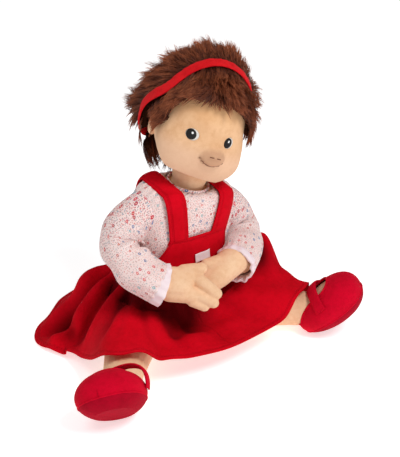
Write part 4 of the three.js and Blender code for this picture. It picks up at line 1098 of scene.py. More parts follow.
for name, side in SIDES.items():
    strap_width, strap_spread = STRAP_FULL[name]
    turns = np.linspace(STRAP_SWING, -STRAP_SWING, STRAP_STEPS)
    rows = [strap_row(around, side, strap_width, strap_spread) for around in turns]
    turns = np.array([around for around, row in zip(turns, rows) if row])
    strap_grid = np.array([row for row in rows if row])
    run = unit(np.gradient(strap_grid, axis=0))
    span = unit(np.gradient(strap_grid, axis=1))
    lift = np.cross(run, span)
    lift = lift * np.sign((lift * (strap_grid - np.array([0, 0, STRAP_CENTRE]))).sum(-1, keepdims=True))
    crown = 3.2 + 1.6 * (1 - np.abs(np.linspace(-1, 1, STRAP_COLUMNS)) ** 3)
    sunk = smoothstep(bodice_top(strap_grid[..., 0]) - strap_grid[..., 2], 0, 10)
    stand = crown[None, :] + 2.6 * hump(turns, 0.1, 0.6)[:, None] - 6.5 * sunk
    strap_grid = strap_grid + lift * stand[..., None]
    wide = (0.5 - np.abs(np.linspace(-0.5, 0.5, STRAP_COLUMNS))) * strap_width / 1000
    steps = np.linalg.norm(np.diff(strap_grid[:, STRAP_COLUMNS // 2], axis=0), axis=1)
    long = np.concatenate([[0], np.cumsum(steps)]) / 1000
    strap_flat = np.stack(np.broadcast_arrays(long[:, None], wide[None, :]), -1)
    strap = grid_object(f"{name}_strap_soft", on_body(strap_grid), closed=False, uv=strap_flat)
    dress(thicken(face_outward(strap), STRAP_THICK), red_edged, "torso", "dress", f"{name}_strap")
    cloth_declared(strap, np.swapaxes(strap_grid, 0, 1))

# %% [markdown]
# A small bare tab of white ribbon is sewn on the bib, a little askew. It stays blank. A flat plane would
# cut through the curved bib, so each of its points is thrown onto the cloth first.

# %% Bare tab
def on_bodice(x, z, lift):
    """The place on the dressed front at that x and z, lifted off it."""
    hit = dressed_tree.ray_cast(Vector((x, -200, z)), Vector((0, 1, 0)))[0]
    return np.array(hit) + np.array([0, -lift, 0])


TAB_X, TAB_Z, TAB_WIDE, TAB_LONG, TAB_TURN = 11, 173, 27, 14, math.radians(14)
tab_rows = []
for v in np.linspace(-0.5, 0.5, 12):
    row = []
    for u in np.linspace(-0.5, 0.5, 16):
        x = TAB_X + u * TAB_WIDE * math.cos(TAB_TURN) + v * TAB_LONG * math.sin(TAB_TURN)
        z = TAB_Z + u * TAB_WIDE * math.sin(TAB_TURN) - v * TAB_LONG * math.cos(TAB_TURN)
        row.append(on_bodice(x, z, 5.0 + 2.0 * (v + 0.5) ** 2 + 0.5 * math.sin(6 * u)))
    tab_rows.append(row)
tab_grid = np.array(tab_rows)
tab = grid_object("bare_tab", on_body(tab_grid), closed=False)
dress(thicken(face_outward(tab), 0.5), hem_cotton, "torso", "hem")
cloth_declared(tab, tab_grid)

# %% [markdown]
# ## Sleeves and cuffs
# An arm follows one bent line from the shoulder to the clasped hands. Bones could bend a straight arm,
# but one smooth line, measured by its own length, gives the soft elbow of a stuffed arm. Sleeve, cuff
# and arm are all drawn round this line.

# %% Arm lines
ARM_ROUTES = {
    "right": [(-36, 0, 236), (-68, 0, 227), (-97, -3, 207), (-113, -17, 183), (-106, -50, 164),
              (-77, -81, 149), (-43, -99, 143), (-5, -120, 129)],
    "left": [(36, 0, 236), (68, 0, 227), (96, -3, 208), (109, -18, 187), (97, -52, 172),
             (68, -78, 164), (40, -94, 155), (10, -105, 139)]}
PALM_EDGE = np.array([0, 0.62, -0.78])


class Route:
    """A bent line that is measured by its own length, from 0 to 1."""

    def __init__(self, points):
        fine = np.linspace(0, 1, 801)
        self.line = spline(points, fine)
        steps = np.linalg.norm(np.diff(self.line, axis=0), axis=1)
        self.place = np.concatenate([[0], np.cumsum(steps)])
        self.length = self.place[-1]
        self.place /= self.length

    def at(self, t):
        return np.stack([np.interp(t, self.place, self.line[:, k]) for k in range(3)], -1)

    def along(self, t):
        return unit(self.at(np.minimum(t + 0.01, 1)) - self.at(np.maximum(t - 0.01, 0)))


def limb(route, t, angle, size):
    """A round limb's skin at each place along the route and each angle round it."""
    centre, along = route.at(t), route.along(t)
    first = unit(PALM_EDGE - along * (along @ PALM_EDGE)[..., None])
    second = np.cross(along, first)
    edgeways, sideways = size * np.cos(angle), size * np.sin(angle)
    return centre + first * edgeways[..., None] + second * sideways[..., None]


def arm_radius(t):
    upper = ARM_TOP + (ELBOW - ARM_TOP) * np.clip(t / 0.45, 0, 1)
    return upper + (WRIST - upper) * smoothstep(t, 0.4, 1)


arm_lines = {name: Route(points) for name, points in ARM_ROUTES.items()}
print("arms", {name: round(line.length) for name, line in arm_lines.items()}, "mm long")

# %% [markdown]
# The sleeve is a tube on that line, a little wider than the arm. Where the elbow bends, the spare
# cotton gathers into creases on the inner side; they are pushed in and out along the tube's own
# outward direction. Its first row lies where the tube leaves the armhole, under a thin seam roll.

# %% Sleeves
# Where each sleeve ends along its arm, and the angle round the arm of the elbow's inner side
SLEEVE_END = {"right": 0.68, "left": 0.72}
INNER_BEND = {"right": 2.2, "left": 4.1}
SLEEVE_ROWS, SLEEVE_COLUMNS, SLEEVE_THICK, SCAN_STEPS = 150, 121, 1.2, 400


def sleeve_size(t, angle, name):
    """Half width of the sleeve: arm, ease, the elbow's creases and the gathers at both ends."""
    side, run = SIDES[name], t * arm_lines[name].length
    inner = smoothstep(np.cos(angle - INNER_BEND[name]), -0.6, 0.8)
    crease = np.sin(run / 5.2 + 1.6 * np.sin(angle + 0.6) + 0.5 * np.sin(3 * angle))
    ripple = np.sin(run / 10.5 + 2.1 * np.cos(angle * 2 + side) + 2)
    ripple = ripple + 0.6 * np.sin(run / 6.1 - 3 * np.sin(angle + side))
    bent = hump(t + 0.012 * np.cos(angle * 2), 0.40, 0.021)
    bent = bent + 0.6 * hump(t - 0.02 * np.cos(angle), 0.46, 0.019)
    fullness = 2.0 * hump(t, 0.60, 0.1) - 6.0 * hump(t, 0.10, 0.15)
    gathers = np.sin(angle * 17 + 1) * hump(t, SLEEVE_END[name], 0.05)
    margin = (SLEEVE_EASE + CLOTH + fullness + 3.2 * hump(t, 0.42, 0.11) * (0.35 + 0.65 * inner) * crease
              - 6.5 * bent * inner + 1.0 * ripple * smoothstep(t, 0.18, 0.35) + gathers)
    return arm_radius(t) + np.maximum(margin, 1.0)


sleeve_angle = np.linspace(0, 2 * math.pi, SLEEVE_COLUMNS)
for name, side in SIDES.items():
    route = arm_lines[name]
    scan = np.linspace(0.02, 0.5, SCAN_STEPS)[:, None] + 0 * sleeve_angle[None, :]
    round_scan = sleeve_angle[None, :] + 0 * scan
    scanned = limb(route, scan, round_scan, sleeve_size(scan, round_scan, name))
    inside = scanned[..., 0] * side < ARMHOLE + 1
    begin = scan[SCAN_STEPS - 1 - np.argmax(inside[::-1], axis=0), np.arange(SLEEVE_COLUMNS)]
    share = np.linspace(0, 1, SLEEVE_ROWS)[:, None]
    t = begin[None, :] + (SLEEVE_END[name] - begin[None, :]) * share
    around = sleeve_angle[None, :] + 0 * t
    sleeve_grid = limb(route, t, around, sleeve_size(t, around, name))
    sleeve = grid_object(f"{name}_sleeve_soft", on_body(sleeve_grid), closed=False)
    dress(thicken(face_outward(sleeve), SLEEVE_THICK), cotton, f"{name}_arm", "blouse", f"{name}_sleeve")
    cloth_declared(sleeve, sleeve_grid)
    seam = on_body(sleeve_grid[0, :-1])
    dress(tube_object(f"{name}_armhole_seam", seam, 1.3, 8, True), cotton, "torso", "blouse")

# %% [markdown]
# The cuff is a wide turned hem: the cotton's edge folded in and stitched. It stands off the wrist a
# little, so its section is drawn as a loop that goes out along the arm, round the edge and back.

# %% Cuffs
for name, side in SIDES.items():
    route = arm_lines[name]
    loop = np.linspace(0, 1, 25)
    out = np.where(loop < 0.5, loop * 2, 2 - loop * 2)
    t = (SLEEVE_END[name] - 0.006 + (CUFF_WIDTH + 2) / route.length * out)[:, None] + 0 * sleeve_angle
    edge = np.sqrt(np.clip(out * (1.02 - out), 0, 1)) * 1.4
    layer_off = np.where(loop < 0.5, 1.0 + edge, -2.4 - edge)
    angle = sleeve_angle[None, :] + 0 * t
    frill = 1.1 * np.sin(angle * 9 + 2) + 0.9 * np.sin(angle * 14 + 1 + side)
    flare = (1.8 * out)[:, None] * (1 + 0.5 * np.sin(angle * 2 + side))
    flare = flare + frill * (0.35 + 0.65 * out[:, None])
    size = arm_radius(t) + SLEEVE_EASE + CLOTH + layer_off[:, None] + flare
    cuff_grid = limb(route, t, angle, size)
    cuff = grid_object(f"{name}_cuff_soft", on_body(cuff_grid), closed=False)
    dress(face_outward(cuff), hem_cotton, f"{name}_arm", "hem", f"{name}_cuff")
print("cuffs turned")

# %% [markdown]
# ## Hands
# Arm, palm, thumb and chunky fingers are one stuffed piece. The arm is a tube on its line, and a palm
# or finger is a round-ended bar, given by its two ends and its half widths.

# %% Hand bars
BAR_SIDES = 20
# Each bar of a hand: both ends in the torso's own frame, and the half width at each end
HANDS = {
    "right": [((-77, -79, 150), (-50, -96, 152), 23, 21), ((-62, -86, 160), (-36, -96, 164), 17, 14),
              ((-64, -93, 142), (-34, -112, 142), 17, 14), ((-42, -88, 169), (-19, -99, 178), 11, 9),
              ((-26, -110, 165), (-7, -132, 152), 9.6, 8.6),
              ((-31, -117, 144), (-11, -135, 138.5), 9.6, 8.4),
              ((-36, -117, 134), (-21, -129, 129.5), 9, 7.6)],
    "left": [((59, -81, 170), (26, -86, 153), 23, 23), ((26, -86, 153), (8, -91, 142), 23, 19),
             ((28, -80, 169), (9, -77, 167), 12, 9)]}


def capped(grid, first):
    """Points and faces of a ring-by-ring tube, closed at both ends."""
    rows, columns = grid.shape[:2]
    points = np.vstack([grid.reshape(-1, 3), grid[0].mean(axis=0), grid[-1].mean(axis=0)])
    faces = grid_faces(rows, columns, first=first)
    start, last_row = first + rows * columns, first + (rows - 1) * columns
    for c in range(columns):
        d = (c + 1) % columns
        faces.append((start, first + d, first + c))
        faces.append((start + 1, last_row + c, last_row + d))
    return points, faces


def bar(begin, end, half_begin, half_end):
    """A round-ended bar as rings: half a ball, the side and half a ball."""
    begin, end = np.array(begin, float), np.array(end, float)
    along, swing = unit(end - begin), np.linspace(0.06, math.pi / 2, 7)
    path = [begin - along * half_begin * math.cos(a) for a in swing]
    path += [end + along * half_end * math.cos(a) for a in swing[::-1]]
    widths = np.concatenate([half_begin * np.sin(swing), half_end * np.sin(swing[::-1])])
    return tube_grid(path, widths, BAR_SIDES)


print("bars", {name: len(bars) for name, bars in HANDS.items()})

# %% [markdown]
# All bars of a hand and its arm become one skin. A boolean union would leave hard creases between
# them; a voxel remesh with a few rounds of smoothing leaves soft valleys, as sewn fingers have.

# %% Arms and hands
ARM_RINGS, ARM_SIDES, WRIST_PLACE, HAND_VOXEL, HAND_ROUNDS = 30, 28, 0.72, 1.5, 4
for name in SIDES:
    place = np.linspace(0.2, WRIST_PLACE, ARM_RINGS)[:, None] + np.zeros((1, ARM_SIDES))
    around = np.linspace(0, 2 * math.pi, ARM_SIDES + 1)[None, :-1] + 0 * place
    grids = [limb(arm_lines[name], place, around, arm_radius(place))]
    grids += [bar(*one) for one in HANDS[name]]
    points, faces = [], []
    for grid in grids:
        more, sides_of = capped(grid, sum(len(p) for p in points))
        points.append(more)
        faces += sides_of
    arm = mesh_object(f"{name}_arm_soft", on_body(np.concatenate(points)), faces)
    soften(arm, HAND_VOXEL, HAND_ROUNDS)
    dress(arm, skin, f"{name}_arm", "skin", f"{name}_arm")
    print(arm.name, len(arm.data.polygons), "faces")

# %% [markdown]
# ## Legs and feet
# A foot is a stuffed ball, longer than wide and flat below. Its form comes before the leg, because its
# pitch sets the ankle's height, and the shoe is cut from the same form. A formula suits both: it gives
# the foot's skin, and any layer outside it.

# %% Foot form
FOOT_CENTRE = np.array([0, -FOOT_LENGTH * 0.22, -FOOT_HEIGHT * 0.12])
SOLE_LEVEL, FOOT_ROUNDNESS, FOOT_TAPER = -31.2, 0.8, 0.12
FOOT_RINGS, FOOT_SIDES = 110, 132


def foot_form(polar, angle, margin):
    """The foot's skin a margin outside: polar runs from toe to heel, angle 0 is on top."""
    along, girth = -np.cos(polar), np.sin(polar) ** FOOT_ROUNDNESS
    taper = 1 - FOOT_TAPER * along
    x = (FOOT_WIDTH / 2 * taper + margin) * girth * np.sin(angle)
    y = (FOOT_LENGTH / 2 + margin) * along + 0 * angle
    z = (FOOT_HEIGHT / 2 * taper + margin) * girth * np.cos(angle)
    spot = np.stack([x, y, z], -1) + FOOT_CENTRE
    spot[..., 2] = np.maximum(spot[..., 2], SOLE_LEVEL - margin)
    return spot


foot_polar = np.linspace(0.0, math.pi, FOOT_RINGS)[:, None]
foot_angle = (np.arange(FOOT_SIDES) * 2 * math.pi / FOOT_SIDES)[None, :]
foot_outer = foot_form(foot_polar, foot_angle, GAP + SHOE_CLOTH)
foot_turns = {name: turn("y", roll) @ turn("x", -FOOT_PITCH) for name, roll in FOOT_ROLL.items()}
ANKLE_HEIGHT = max(-(foot_outer @ t.T)[..., 2].min() for t in foot_turns.values())
LEG_GIRTHS = [(THIGH, 0), (THIGH, LEG_LENGTH * 0.25), (KNEE, LEG_LENGTH * 0.6), (ANKLE, LEG_LENGTH)]
leg_table = spline(LEG_GIRTHS, np.linspace(0, 1, 400))


def leg_radius(run):
    return np.interp(run, leg_table[:, 1], leg_table[:, 0])


def on_foot(p, name):
    placed = p @ foot_turns[name].T + np.array([0, -LEG_LENGTH, ANKLE_HEIGHT])
    return on_leg(placed, SIDES[name])


print("ankle at", round(ANKLE_HEIGHT, 1), "mm")

# %% [markdown]
# A leg lies on the floor from the hip outwards. It is stuffed firmly, yet the cloth creases at the
# ankle. The copy of the solid is smoothed, and then pushed in along three slanting rings near the
# shoe. A bump could paint these creases, but they show at the leg's outline too.

# %% Legs
for name, side in SIDES.items():
    leg = stuffed_copy(f"{name}_leg", 2.4, 5)
    spots = np.zeros(len(leg.data.vertices) * 3, np.float32)
    leg.data.vertices.foreach_get("co", spots)
    spots = spots.reshape(-1, 3) * 1000 - SHIFT
    local = (spots - np.array([side * HIP_HALF, -HIP_FORWARD, 0])) @ turn("z", side * LEG_SPREAD)
    run = -local[:, 1]
    axis = THIGH + (ANKLE_HEIGHT - THIGH) * np.clip(run / LEG_LENGTH, 0, 1)
    around = np.arctan2(local[:, 0], local[:, 2] - axis)
    crease = (1.8 * hump(run + 6 * np.cos(around), 186, 5)
              + 1.5 * hump(run - 8 * np.cos(around + 1), 166, 6)
              + 1.2 * hump(run + 9 * np.sin(around), 148, 7))
    keep = 1 - crease * smoothstep(local[:, 2], 4, 20) / np.maximum(leg_radius(run), 20)
    local[:, 0] *= keep
    local[:, 2] = axis + (local[:, 2] - axis) * keep
    spots = on_leg(local, side) + SHIFT
    leg.data.vertices.foreach_set("co", (spots / 1000).astype(np.float32).ravel())
    dress(leg, skin, f"{name}_leg", "skin", f"{name}_leg")
    print(leg.name, len(leg.data.polygons), "faces")

# %% [markdown]
# ## Shoes
# Each shoe has a velour upper with a bound opening and a sole sewn under it. Both come from one foot
# form: the upper is flattened below the seam and the sole above it, so their edges meet exactly. A
# boolean could cut them apart, but it would leave uneven faces along the seam.

# %% Shoe cutting
SEAM = SOLE_LEVEL + SOLE + 10


def opening(p):
    """True inside the shoe's opening: straight at the strap, round towards the toe."""
    x, y, z = np.moveaxis(p, -1, 0)
    ahead = (y + STRAP_FRONT) / (OPENING_FRONT - STRAP_FRONT)
    reach = np.where(y > -STRAP_FRONT, 1.0, np.sqrt(np.clip(1 - ahead**2, 0, 1)))
    return (np.abs(x) < OPENING_HALF * reach) & (y > -OPENING_FRONT) & (z > 0)


def rim_loop(form):
    """The longest boundary of a mesh, as vertices in order."""
    left = {e for e in form.edges if e.is_boundary}
    longest = []
    while left:
        edge = next(iter(sorted(left, key=lambda e: e.index)))
        left.discard(edge)
        loop = [edge.verts[0], edge.verts[1]]
        while True:
            ahead = next((e for e in loop[-1].link_edges if e in left), None)
            if ahead is None:
                break
            left.discard(ahead)
            loop.append(ahead.other_vert(loop[-1]))
        if len(loop) > len(longest):
            longest = loop[:-1] if loop[0] == loop[-1] else loop
    return longest


def seam_angle(polar, margin):
    """Angle round the foot where its skin crosses the sole seam, at each place along it."""
    half = FOOT_HEIGHT / 2 * (1 + FOOT_TAPER * np.cos(polar)) + margin
    half = half * np.maximum(np.sin(polar), 1e-3) ** FOOT_ROUNDNESS
    return np.arccos(np.clip((SEAM - FOOT_CENTRE[2]) / half, -1, 1))


SHOE_MARGIN = GAP + SHOE_CLOTH
crossing = seam_angle(foot_polar, SHOE_MARGIN)
spread = np.linspace(-1, 1, FOOT_SIDES)[None, :]
sole_outer = foot_form(foot_polar, math.pi + spread * (math.pi - crossing), SHOE_MARGIN + 0.5)
far_side = foot_angle > math.pi
pinch = np.minimum(np.abs(foot_angle - 2 * math.pi * far_side), crossing) * np.where(far_side, -1, 1)
upper_outer = foot_form(foot_polar, pinch, SHOE_MARGIN)
gone = opening(foot_outer).reshape(-1)
kept_faces = [f for f in grid_faces(FOOT_RINGS, FOOT_SIDES) if not all(gone[i] for i in f)]
sewn = [(p, a) for p, a in zip(foot_polar[:, 0], crossing[:, 0]) if a < math.pi - 1e-3]
print("opening cut from", int(gone.sum()), "points")

# %% [markdown]
# The opening is cut face by face; its stepped rim is then smoothed, and a binding is rolled over it. A
# cord lies in the seam between upper and sole.

# %% Shoe uppers and soles
RIM_ROUNDS, UPPER_THICK, SOLE_THICK, BINDING_HALF, SEAM_HALF = 14, 2.2, 2.4, 2.1, 1.3
for name in SIDES:
    form = bmesh.new()
    spots = [form.verts.new(Vector(p)) for p in upper_outer.reshape(-1, 3)]
    form.verts.index_update()
    for f in kept_faces:
        form.faces.new([spots[i] for i in f])
    bmesh.ops.delete(form, geom=[v for v in form.verts if not v.link_faces], context="VERTS")
    bmesh.ops.remove_doubles(form, verts=form.verts, dist=1e-4)
    form.edges.index_update()
    rim = rim_loop(form)
    line = np.array([v.co for v in rim])
    for _ in range(RIM_ROUNDS):
        line = line * 0.5 + (np.roll(line, 1, 0) + np.roll(line, -1, 0)) * 0.25
    for v, p in zip(rim, line):
        v.co = Vector(p)
    for v in form.verts:
        v.co = Vector((on_foot(np.array(v.co), name) + SHIFT) / 1000)
    bmesh.ops.recalc_face_normals(form, faces=form.faces)
    mesh = bpy.data.meshes.new(f"{name}_shoe_upper_soft")
    form.to_mesh(mesh)
    form.free()
    mesh.shade_smooth()
    shoe = bpy.data.objects.new(f"{name}_shoe_upper_soft", mesh)
    scene.collection.objects.link(shoe)
    dress(thicken(shoe, UPPER_THICK), shoe_red, f"{name}_leg", "shoe", f"{name}_shoe_upper")
    bound = tube_object(f"{name}_shoe_binding", on_foot(line, name), BINDING_HALF, 10, True)
    dress(bound, shoe_red, f"{name}_leg", "shoe")
    sole = grid_object(f"{name}_shoe_sole_soft", on_foot(sole_outer, name), closed=False)
    sole = thicken(face_outward(sole), SOLE_THICK)
    dress(sole, shaded_sole_red, f"{name}_leg", "shoe", f"{name}_shoe_sole")
    cord = [foot_form(np.array(p), np.array(a), SHOE_MARGIN) for p, a in sewn]
    cord += [foot_form(np.array(p), np.array(-a), SHOE_MARGIN) for p, a in reversed(sewn)]
    seam = tube_object(f"{name}_sole_seam", on_foot(np.array(cord), name), SEAM_HALF, 8, True)
    dress(seam, shoe_red, f"{name}_leg", "shoe")
    print(shoe.name, len(mesh.polygons), "faces")

# %% [markdown]
# A strap crosses each instep. It is drawn on the same foot form, a little further out, from one angle
# round the foot to another. The right strap is slack and stands off the foot as a loop.

# %% Shoe straps
# Angles round the foot where each strap begins and ends; its slack and the angle of the slack
STRAP_REACH = {"right": (-40, 96), "left": (-66, 66)}
STRAP_SLACK = {"right": (11, 48), "left": (4, 0)}
SHOE_STRAP_THICK, STRAP_INSET, STRAP_ROWS = 2.6, 0.8, 60
for name in SIDES:
    around = np.radians(np.linspace(*STRAP_REACH[name], STRAP_ROWS))[:, None]
    part = np.linspace(0, 1, STRAP_COLUMNS)[None, :]
    slack, slack_at = STRAP_SLACK[name]
    stand = 1.9 + 1.6 * (1 - np.abs(2 * part - 1) ** 4)
    stand = stand + slack * hump(around, math.radians(slack_at), 0.55)
    forward = -STRAP_FRONT + STRAP_INSET + part * (SHOE_STRAP - 2 * STRAP_INSET) - FOOT_CENTRE[1]
    forward = forward / (FOOT_LENGTH / 2 + SHOE_MARGIN)
    strap_grid = foot_form(np.arccos(-forward), around, SHOE_MARGIN + stand)
    strap = grid_object(f"{name}_shoe_strap_soft", on_foot(strap_grid, name), closed=False)
    thicken(face_outward(strap), SHOE_STRAP_THICK)
    dress(strap, shoe_red, f"{name}_shoe_strap", "shoe", f"{name}_shoe_strap")
    cloth_declared(strap, np.swapaxes(strap_grid, 0, 1))

# %% [markdown]
# ## The skirt
# The skirt is gathered into the waist seam, falls over both legs and spreads on the floor. Its shape
# is one surface in two directions: down from the waist and round the body. A cloth simulation would
# fold it where it likes; here the folds of the photograph are wanted, so each of them is set. First
# come the rules that every fold obeys: the cloth lies over the legs and outside the torso.

# %% Cloth over the legs
OVER_LEG, OVER_FLOOR, OVER_TORSO, LEG_SOFTNESS = 3, 2.2, 5, 8


def leg_cover(x, y):
    """How high the legs lift the cloth at a place on the floor plan."""
    lift = np.zeros_like(x)
    for side in SIDES.values():
        from_hip = np.stack([x - side * HIP_HALF, y + HIP_FORWARD, 0 * x], -1)
        local = from_hip @ turn("z", side * LEG_SPREAD)
        along = np.clip(-local[..., 1] / LEG_LENGTH, 0, 1)
        radius = leg_radius(along * LEG_LENGTH)
        top = THIGH + (ANKLE_HEIGHT - THIGH) * along + radius + CLOTH + OVER_LEG
        cover = top * np.exp(-((local[..., 0] / (1.75 * radius)) ** 4))
        cover = cover * smoothstep(-local[..., 1], -THIGH, 0)
        lift = np.maximum(lift, cover)
    return lift


def over_legs(spot, s):
    """Lays the cloth over the legs with a soft edge, and keeps it off the floor."""
    cover = leg_cover(spot[..., 0], spot[..., 1]) * smoothstep(s, 0.02, 0.25)
    lifted = np.exp(spot[..., 2] / LEG_SOFTNESS) + np.exp(cover / LEG_SOFTNESS) * (cover > 1)
    spot[..., 2] = np.maximum(LEG_SOFTNESS * np.log(lifted), OVER_FLOOR)
    return spot


def clear_of_torso(spot):
    """Pushes the cloth out of the stuffed torso, where a deep fold would reach into it."""
    pivot = np.array([0, 0, LEAN_PIVOT])
    local = (spot - pivot) @ BODY_TURN + pivot
    girth = spline(TORSO_GIRTHS, np.interp(local[..., 2], girth_table[:, 2], girth_t)) + OVER_TORSO
    power = 2 / SQUARENESS
    across, ahead = (np.abs(local[..., k]) / girth[..., k] for k in (0, 1))
    inside = across**power + ahead**power
    local[..., :2] *= np.maximum(np.maximum(inside, 0.05) ** (-1 / power), 1)[..., None]
    return on_body(local)


print("cloth over the legs up to", round(THIGH * 2 + CLOTH + OVER_LEG, 1), "mm")

# %% [markdown]
# Velour folds in several ways at once, so each way has its own list. Main folds and narrow pleats run
# from the waist outwards. Hollows are pressed in and puffs stand up at places on the floor plan. Shade
# is painted on the points as well: a darker red in the hollows of the folds and pleats and under the
# arms and hands.

# %% Skirt folds
# Main folds: heading round the waist and height. Pleats: heading, width, height and drift
MAIN_FOLDS = [(-66, 8), (-88, 13), (-110, 14), (-133, 12), (-158, 9), (-18, 4), (14, 4), (42, 5),
              (80, 16), (106, 9), (129, 10), (153, 9), (178, 9)]
PLEATS = [(-77, 3.8, -15, 0.4), (-88, 3.6, 7, 0.3), (-99, 3.8, -22, 0.1), (-110, 3.4, 9, -0.1),
          (-121, 3.8, -24, -0.3), (-131, 3.4, 9, -0.2), (-142, 4, -20, 0.1), (-62, 3.4, 5, 0.5),
          (-50, 3.5, -5, 0.8), (-30, 3.5, -3, 0.6), (-4, 4, -3, 0.5), (28, 4, -3, 0.3),
          (62, 4, -6, 0.2), (92, 3.4, -8, -0.2), (97, 2.6, 4, 0.1), (118, 4, -8, 0.1),
          (141, 4, -8, -0.2), (166, 4, -8, 0.1)]
# Hollows pressed into the cloth and bulges: place on the floor plan, half width and height
DENTS = [((-134, 58), 17, -22), ((-144, 32), 12, -10), ((-126, 24), 13, 7), ((-158, 50), 10, 8),
         ((-26, -58), 36, -20), ((104, -42), 22, -18), ((-78, 4), 13, -10), ((-34, -88), 20, -9),
         ((-46, -112), 12, -4), ((-18, -110), 14, -5), ((152, -84), 12, -9), ((72, -86), 15, -8)]
# Puffs that stand up off the leg: place on the floor plan, half width and height
PUFFS = [((164, -78), 24, 50), ((188, -106), 15, 14)]
# Painted shade in fold hollows and under the arms and hands: place on the floor plan, half width and
# strength
SHADES = [((-82, -34), 21, 0.9), ((-64, -62), 23, 1.0), ((-38, -84), 23, 1.0), ((-8, -92), 21, 0.9),
          ((20, -96), 20, 0.5), ((-78, 6), 13, 0.8), ((-143, 34), 11, 0.5), ((-128, 60), 18, 0.4),
          ((150, -86), 13, 1.0), ((72, -86), 16, 0.6), ((104, -84), 15, 0.6), ((-48, -113), 9, 0.5),
          ((-20, -110), 10, 0.5)]
# Where the hem stands off the floor: heading, width and height
HEM_LIFTS = [(-92, 20, 8), (-28, 24, 3), (-40, 9, 8)]
# Extra length over the right leg, and a swell at the right rear: heading, width and size
LONGER_HEM, REAR_SWELL = (-60, 12, 17), (-136, 17, 15)
# Depth of a pleat's hollow, in millimetres, that gets the full painted shade
PLEAT_FULL_SHADE = 24


def fold_rise(degrees):
    """Height of the main folds at a heading round the waist, with their mean taken off."""
    rise = 0 * degrees
    for heading, tall in MAIN_FOLDS:
        apart = (degrees - heading + 540) % 360 - 180
        rise = rise + tall * (np.exp(-((apart / FOLD_WIDTH) ** 2)) - FOLD_WIDTH * 3.5 / 360)
    return rise


def heading_hump(degrees, heading, width, tall):
    """A size at a heading round the waist, falling away to both sides."""
    return tall * hump(degrees, heading, width)


def patch_at(spot, place, half):
    """One at a place on the floor plan, falling away round it."""
    away = (spot[..., 0] - place[0]) ** 2 + (spot[..., 1] - place[1]) ** 2
    return np.exp(-(away / half**2))


print(len(MAIN_FOLDS), "folds,", len(PLEATS), "pleats,", len(DENTS), "hollows and bulges")

# %% [markdown]
# First comes the plain fall of the cloth, from the waist to the hem, with the main folds on it. It
# hangs taut between the legs and stands up in a puff beside the left hip. Then pleats and hollows push
# it in and out along its own outward direction, and it is laid over the legs again.

# %% Skirt form
def skirt_base(s, angle):
    """The plain fall with its main folds, and how far each place lies in the lap."""
    signed = (angle + math.pi) % (2 * math.pi) - math.pi
    waist = on_body(torso_point(np.full_like(angle, BODICE_FOOT - 0.4), angle, GAP * 2 + CLOTH * 2))
    centre = on_body(np.array([0, 0, BODICE_FOOT]))
    front, rear = np.maximum(np.cos(angle), 0) ** 2, np.maximum(-np.cos(angle), 0) ** 2

    def near(heading, width):
        return hump(signed, math.radians(heading), width)

    reach = (HEM_FRONT * front + HEM_BACK * rear
             + np.where(signed < 0, HEM_RIGHT, HEM_LEFT) * np.sin(angle) ** 2
             + HEM_OVER_LEGS * (near(-HEM_LEG_HEADING, 0.4) + near(HEM_LEG_HEADING, 0.4))
             + HEM_CORNER * near(HEM_CORNER_HEADING, 0.3))
    lap = smoothstep(np.cos(angle), 0.25, 0.8)
    hem = np.stack([centre[0] + reach * np.sin(angle), centre[1] - reach * np.cos(angle),
                    CLOTH + GAP + HEM_BETWEEN_LEGS * lap], -1)
    spot = waist + (hem - waist) * s[..., None]
    fall = 1 - (1 - s) ** (1.3 - 0.1 * lap)
    z = waist[..., 2] + (hem[..., 2] - waist[..., 2]) * fall
    z = z + LEFT_PUFF * near(PUFF_HEADING, 0.5) * np.sin(math.pi * s**1.3)
    z = z - LAP_HOLLOW * lap * hump(s, 0.35, 0.2)
    spot[..., 2] = z
    window = smoothstep(s, 0.04, 0.35) * (1 - 0.7 * smoothstep(s, 0.72, 1.0))
    lean = np.stack([0.6 * np.sin(angle), -0.6 * np.cos(angle), 0.8 + 0 * angle], -1)
    return spot + lean * (fold_rise(np.degrees(signed)) * window)[..., None], lap


